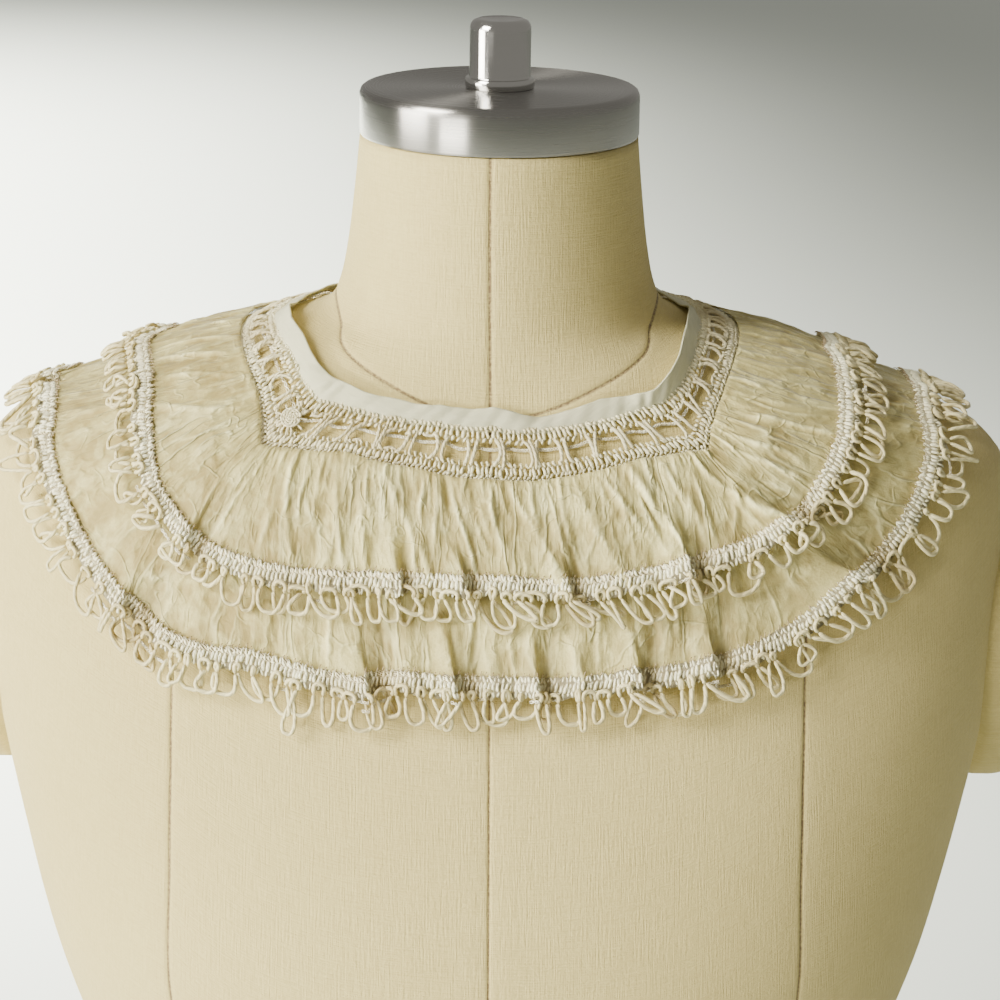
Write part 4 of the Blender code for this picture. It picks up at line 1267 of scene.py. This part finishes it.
# How the loops hang along each hem: line, reach below it, width, and lean towards +X.
LOOP_WAYS = {
    "upper": ((-180, .0098, .0066, .0), (-120, .0100, .0068, .1), (-88, .0098, .0072, -.1),
              (-62, .0080, .0070, .0), (-45, .0085, .0074, .0), (-28, .0088, .0064, .1),
              (-8, .0092, .0058, .1), (3, .0106, .0056, .35), (26, .0110, .0062, .42),
              (42, .0100, .0066, .2), (60, .0085, .0080, .0), (85, .0108, .0064, .1),
              (120, .0100, .0068, -.1), (180, .0098, .0066, .0)),
    "lower": ((-180, .0100, .0062, .0), (-120, .0105, .0066, .1), (-88, .0105, .0070, -.1),
              (-60, .0100, .0066, .1), (-40, .0095, .0056, .0), (-10, .0096, .0050, .15),
              (15, .0098, .0050, -.1), (40, .0100, .0054, .2), (60, .0112, .0068, .1),
              (88, .0122, .0072, .05), (120, .0108, .0066, .1), (180, .0100, .0062, .0))}
# Loops pulled out longer than the rest: line, times the length.
PULLED_LOOPS = {
    "upper": ((-21, 1.5), (-2, 1.4), (38, 1.5)),
    "lower": ((-76, 1.9), (-70, 1.6), (-66.5, 1.5), (-48.5, 1.6), (-45, 1.5), (-41, 1.4),
              (-14, 1.3))}


def hem_place(tier):
    """Points measured in metres above a hem."""
    return lambda t, above, lift: tier_place(tier, t, seam(t, tier.hem) - above, lift + TRIM_LIFT)


def along_hem(tier, pitch):
    """Even places along the ruffled hem: their t, and the turn of t a metre there."""
    t = np.linspace(-BACK_EDGE, BACK_EDGE, 6000)
    run = run_along(hem_place(tier)(t, .004 + 0 * t, 0 * t)[0], 0)
    count = int(run[-1] / pitch)
    places = (np.arange(count) + .5) / count * run[-1]
    return np.interp(places, run, t), np.interp(places, run, np.gradient(t, run))


def shaded_in_recess(mesh, tier, middles):
    """Mark the threads of a mesh, in their order along the hem, with painted shade where they lie
    in a recess.
    """
    mark(mesh, "painted_shade", np.repeat(recessed(tier, middles), len(mesh.vertices) // len(middles)))
    return mesh


def tape_mesh(tier):
    """A flat strip with wavering edges, under the ribs."""
    t = np.concatenate([[-BACK_EDGE], along_hem(tier, TAPE_PITCH)[0], [BACK_EDGE]])[None, :]
    above = np.linspace(*TAPE, 4)[:, None]
    edge = np.array((.0006, 0, 0, .0004))[:, None] * waves(t, 160, seed=tier.seed + 9, height=1)
    points, _ = hem_place(tier)(t + 0 * above, above + edge, TRIM_LIFT + 0 * t * above)
    mesh = grid_mesh(points, np.stack([run_along(points, 1), above + 0 * t], -1))
    # Painted shade where the tape lies in a recess.
    mark(mesh, "painted_shade", recessed(tier, t) + 0 * above)
    return mesh


def heading_meshes(tier, rng):
    """Rows of ribbed stitches along a hem."""
    meshes = []
    for pitch, *stitch in HEADING_ROWS:
        middles, scale = along_hem(tier, pitch)
        row = ribs(hem_place(tier), middles, scale, *stitch, rng)
        meshes.append(shaded_in_recess(row, tier, middles))
    return meshes


def flat_loops(tier, middles, rng):
    """Loops of many widths, lengths and leans: metres along the hem and above it, and how far
    down its own length each is."""
    size = (len(middles), 1)
    line, *ways = np.array(LOOP_WAYS[tier.name]).T
    reach, wide, lean = (np.interp(middles, line, way)[:, None] for way in ways)
    reach = reach * rng.uniform(*LOOP_LENGTHS, size)
    wide = LOOP_WIDER * wide * rng.uniform(*LOOP_WIDTHS, size)
    for line, times in PULLED_LOOPS[tier.name]:
        reach[np.abs(middles - line).argmin()] *= times
    lean = lean + rng.normal(0, LOOP_STRAY, size)
    kind = rng.uniform(0, 1, size)
    feet = [(kind < upto, rng.uniform(least, most, size)) for upto, least, most in LOOP_FEET]
    foot = wide * np.select(*zip(*feet))
    fall = np.sin(LOOP_TURN) ** .9
    half = (foot + (wide - foot) * np.sin(LOOP_TURN) ** .8) / 2
    turned = np.cos(LOOP_TURN)
    sideways = -np.sign(turned) * np.abs(turned) ** .75 * half
    bow = rng.normal(0, .0007, size) * np.sin(2 * LOOP_TURN)
    along = rng.normal(0, .0011, size) + sideways + lean * fall * reach + bow
    tilt = rng.uniform(-.0014, .0014, size) * turned * fall
    above = LOOP_ROOT - fall * (reach + LOOP_ROOT) * (1 - .15 * lean ** 2) + tilt
    return along, above, fall


def crowded(fall, count, rng):
    """How far the loops stand off the hem, each over or under its neighbours."""
    size = (count, 1)
    over = np.where(np.arange(count)[:, None] % 2, OVERLAP, 0)
    raised = rng.uniform(0, .0032, size)
    lift = .0008 + .0009 * (1 - fall) + over * np.clip(fall * 1.6, 0, 1)
    lift = lift + raised * np.sin(fall * np.pi * .62)
    return lift + .0004 * np.sin(2 * LOOP_TURN + rng.uniform(0, 6, size)) * fall


def arch_mesh(centres, outward, across, down, rng):
    """Between two loops the thread turns over in an arch that lies on the heading; its mesh, and
    which loops stand near enough to the one before."""
    first, last = centres[:-1, -1:], centres[1:, :1]
    near = np.linalg.norm(last - first, axis=-1)[:, 0] < WIDEST_ARCH
    turn = np.linspace(-ARCH_OVERLAP, np.pi + ARCH_OVERLAP, ARCH_RINGS)[None, :, None]
    onward = np.sign(np.sum((last - first) * across, axis=-1, keepdims=True))
    high, bulge = (rng.uniform(low, high, (len(first), 1, 1))
                   for low, high in ((.0018, .0036), (.0004, .0018)))
    over = np.maximum(np.sin(turn), 0)
    half = (last - first) / 2 + onward * across * bulge * over
    arches = (first + last) / 2 - np.cos(turn) * half - down * high * np.sin(turn)
    arches = (arches + outward * .0008 * over)[near]
    return threads(arches, outward[near] + 0 * arches, LOOP_THREAD, 6), near


def loop_meshes(tier, rng):
    """The fringe, one thread all along: its loops, and the arches between them."""
    middles, _ = along_hem(tier, LOOP_SPACING)
    along, above, fall = flat_loops(tier, middles, rng)
    lift = crowded(fall, len(middles), rng)
    line, rise = ruffled(tier, middles, seam(middles, tier.hem))
    hem, outward = collar_place(line, seam(middles, tier.hem), rise + TRIM_LIFT)
    onward = collar_place(line + .2, seam(middles + .2, tier.hem), rise + TRIM_LIFT)[0]
    across = unit(onward - hem)
    down = unit(np.cross(across, outward))
    hem, outward, across, down = (vectors[:, None] for vectors in (hem, outward, across, down))
    drape = TRIM_LIFT + .5 * np.maximum(rise[:, None] - .0012, 0)
    lift = lift - np.clip(-above / LOOP_SINKS, 0, 1) * drape
    centres = hem + across * along[..., None] - down * above[..., None] + outward * lift[..., None]
    thick = LOOP_THREAD * rng.uniform(.88, 1.12, (len(middles), 1))
    loops = threads(centres, outward + 0 * centres, thick, 6)
    arches, near = arch_mesh(centres, outward[1:], across[1:], down[1:], rng)
    return [shaded_in_recess(loops, tier, middles), shaded_in_recess(arches, tier, middles[1:][near])]


def whip_mesh(tier, rng):
    """The small stitches that hold the chiffon to the heading's upper edge."""
    middles, scale = (places[:, None] for places in along_hem(tier, WHIP_PITCH))
    run = np.linspace(0, 1, 5)[None, :]
    t = middles + scale * (.0009 * run + rng.normal(0, .0005, middles.shape))
    above = TAPE[1] + run * rng.uniform(.0010, .0022, middles.shape)
    centres, outward = hem_place(tier)(t, above, TRIM_LIFT + .0005 * np.sin(np.pi * run))
    return threads(centres, outward, WHIP_THREAD, 4)


def chain_glimpses(tier, rng):
    """Short stretches of the chain, where it comes out between the loops."""
    starts = rng.uniform(-BACK_EDGE, BACK_EDGE - 6, GLIMPSES)
    lows = rng.uniform(0, .004, GLIMPSES)
    meshes = []
    for start, low, drop in zip(starts, lows, rng.normal(0, .002, GLIMPSES)):
        def place(t, side, lift):
            return hem_place(tier)(t, side - low - drop * (t - start) / 5, lift + .0004)
        end = start + rng.uniform(3, 5.5)
        meshes.append(chain(place, start, end, width=.00042, pitch=.0021, radius=.00027))
    return meshes


def taped():
    """Close narrow knitted ground under the ribs."""
    finish = Finish("Tape cotton", .75)
    u, v = finish.cloth_axes()
    stitch = (u * (2 * np.pi / .0017) + (v * 2600).sine() * 1.1).sine()
    rough = finish.clouds(700, 2)
    # Painted shade in the low places between the stitches, with a random mottle of the cotton's
    # own; painted shade also in the recesses.
    crevice_shade_and_mottle = (1 - stitch.ramp(-.9, .2)) * .6 + rough.ramp(.45, .7) * .3
    finish.set(Base_Color=finish.coated(TAPE_COLOUR, (crevice_shade_and_mottle, TAPE_SHADE),
                                        (finish.stored("painted_shade") * .75, PAINTED_SHADE_BROWN)))
    finish.relief(stitch + rough, .0005, .8)
    return finish.material


heading_cotton = cotton("Heading cotton", HEADING_PALE, HEADING_SHADE)
tape_cotton = taped()
loop_cotton = cotton("Loop thread", LOOP_COLOUR, LOOP_SHADE, LOOP_PLY)
whip_cotton = Finish("Whipping thread", .7)
uneven = whip_cotton.clouds(200)
whip_cotton.set(Base_Color=whip_cotton.mix(uneven, WHIP_COLOUR, WHIP_PALE))
trims = {}
for tier in (LOWER, UPPER):
    rng = np.random.default_rng(tier.seed + 60)
    heading = finished("heading_" + tier.name, heading_meshes(tier, rng), heading_cotton)
    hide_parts("trim_" + tier.name)
    tape = finished("tape_" + tier.name, [tape_mesh(tier)], tape_cotton)
    thicken(tape, TAPE_THICK)
    trims[tier.name] = [heading, tape]
    for kind, meshes, thread in (("loops_", loop_meshes(tier, rng), loop_cotton),
                                 ("chain_", chain_glimpses(tier, rng), chain_silk.material),
                                 ("whipping_", [whip_mesh(tier, rng)], whip_cotton.material)):
        trims[tier.name].append(finished(kind + tier.name, meshes, thread))

# ================================================================ floor, light and camera
# A plain pale studio floor, a large soft window light from the left, another on the floor
# behind, and the camera a little above the neck.

FLOOR_RADIUS = 14
FLOOR_COLOUR = (.76, .82, .76)
ROOM_LIGHT = (1, .97, .89, 1)
ROOM_STRENGTH = .31

bm = bmesh.new()
bmesh.ops.create_circle(bm, cap_ends=True, segments=64, radius=FLOOR_RADIUS)
mesh = bpy.data.meshes.new("floor")
bm.to_mesh(mesh)
bm.free()
floor_finish = Finish("Studio floor", .9)
cloudy = floor_finish.clouds(2)
floor_finish.set(Base_Color=floor_finish.mix(cloudy, FLOOR_COLOUR, darker(FLOOR_COLOUR, .97)))
mesh.materials.append(floor_finish.material)
floor = bpy.data.objects.new("floor", mesh)
bpy.context.scene.collection.objects.link(floor)

#          name, place, aim, width, height, spread in degrees, watts
LAMPS = (("window", (-2.15, -1.2, 1.95), (.10, .1, .42), 1.4, 1.4, 66, 29),
         ("side_window", (-2.5, -.8, .5), (.05, 0, .42), 1.2, 1.2, 66, 15),
         ("low_window", (-.95, -1.25, .15), (0, 0, .58), .6, .28, 160, 15),
         ("backdrop", (-1.45, 2.3, 1.7), (-.88, 2.4, 0), 3.6, .7, 66, 150))
LAMP_COLOUR = (1, .965, .87)
for lamp_name, place, aim, width, height, spread_angle, watts in LAMPS:
    lamp = bpy.data.lights.new(lamp_name, "AREA")
    lamp.shape = "RECTANGLE"
    lamp.size = width
    lamp.size_y = height
    lamp.spread = np.radians(spread_angle)
    lamp.energy = watts
    lamp.color = LAMP_COLOUR
    lamp_object = bpy.data.objects.new(lamp_name, lamp)
    lamp_object.location = place
    towards = Vector(aim) - Vector(place)
    lamp_object.rotation_euler = towards.to_track_quat("-Z", "Y").to_euler()
    lamp_object.visible_camera = False
    bpy.context.scene.collection.objects.link(lamp_object)

world = bpy.data.worlds.new("Studio")
world.use_nodes = True
room = world.node_tree.nodes["Background"].inputs
room["Color"].default_value = ROOM_LIGHT
room["Strength"].default_value = ROOM_STRENGTH
bpy.context.scene.world = world

CAMERA_PLACE = Vector((.0174, -1.2495, .8553))
CAMERA_AIM = Vector((0, 0, .497))
CAMERA_LENS = 126.5
CAMERA_SHIFT = .006
CAMERA_ROLL = .8                        # degrees
camera = bpy.data.objects.new("camera", bpy.data.cameras.new("camera"))
camera.data.lens = CAMERA_LENS
camera.data.shift_x = CAMERA_SHIFT
looking = (CAMERA_AIM - CAMERA_PLACE).to_track_quat("-Z", "Y").to_matrix().to_4x4()
roll = Matrix.Rotation(np.radians(CAMERA_ROLL), 4, "Z")
camera.matrix_world = Matrix.Translation(CAMERA_PLACE) @ looking @ roll
bpy.context.scene.collection.objects.link(camera)
bpy.context.scene.camera = camera
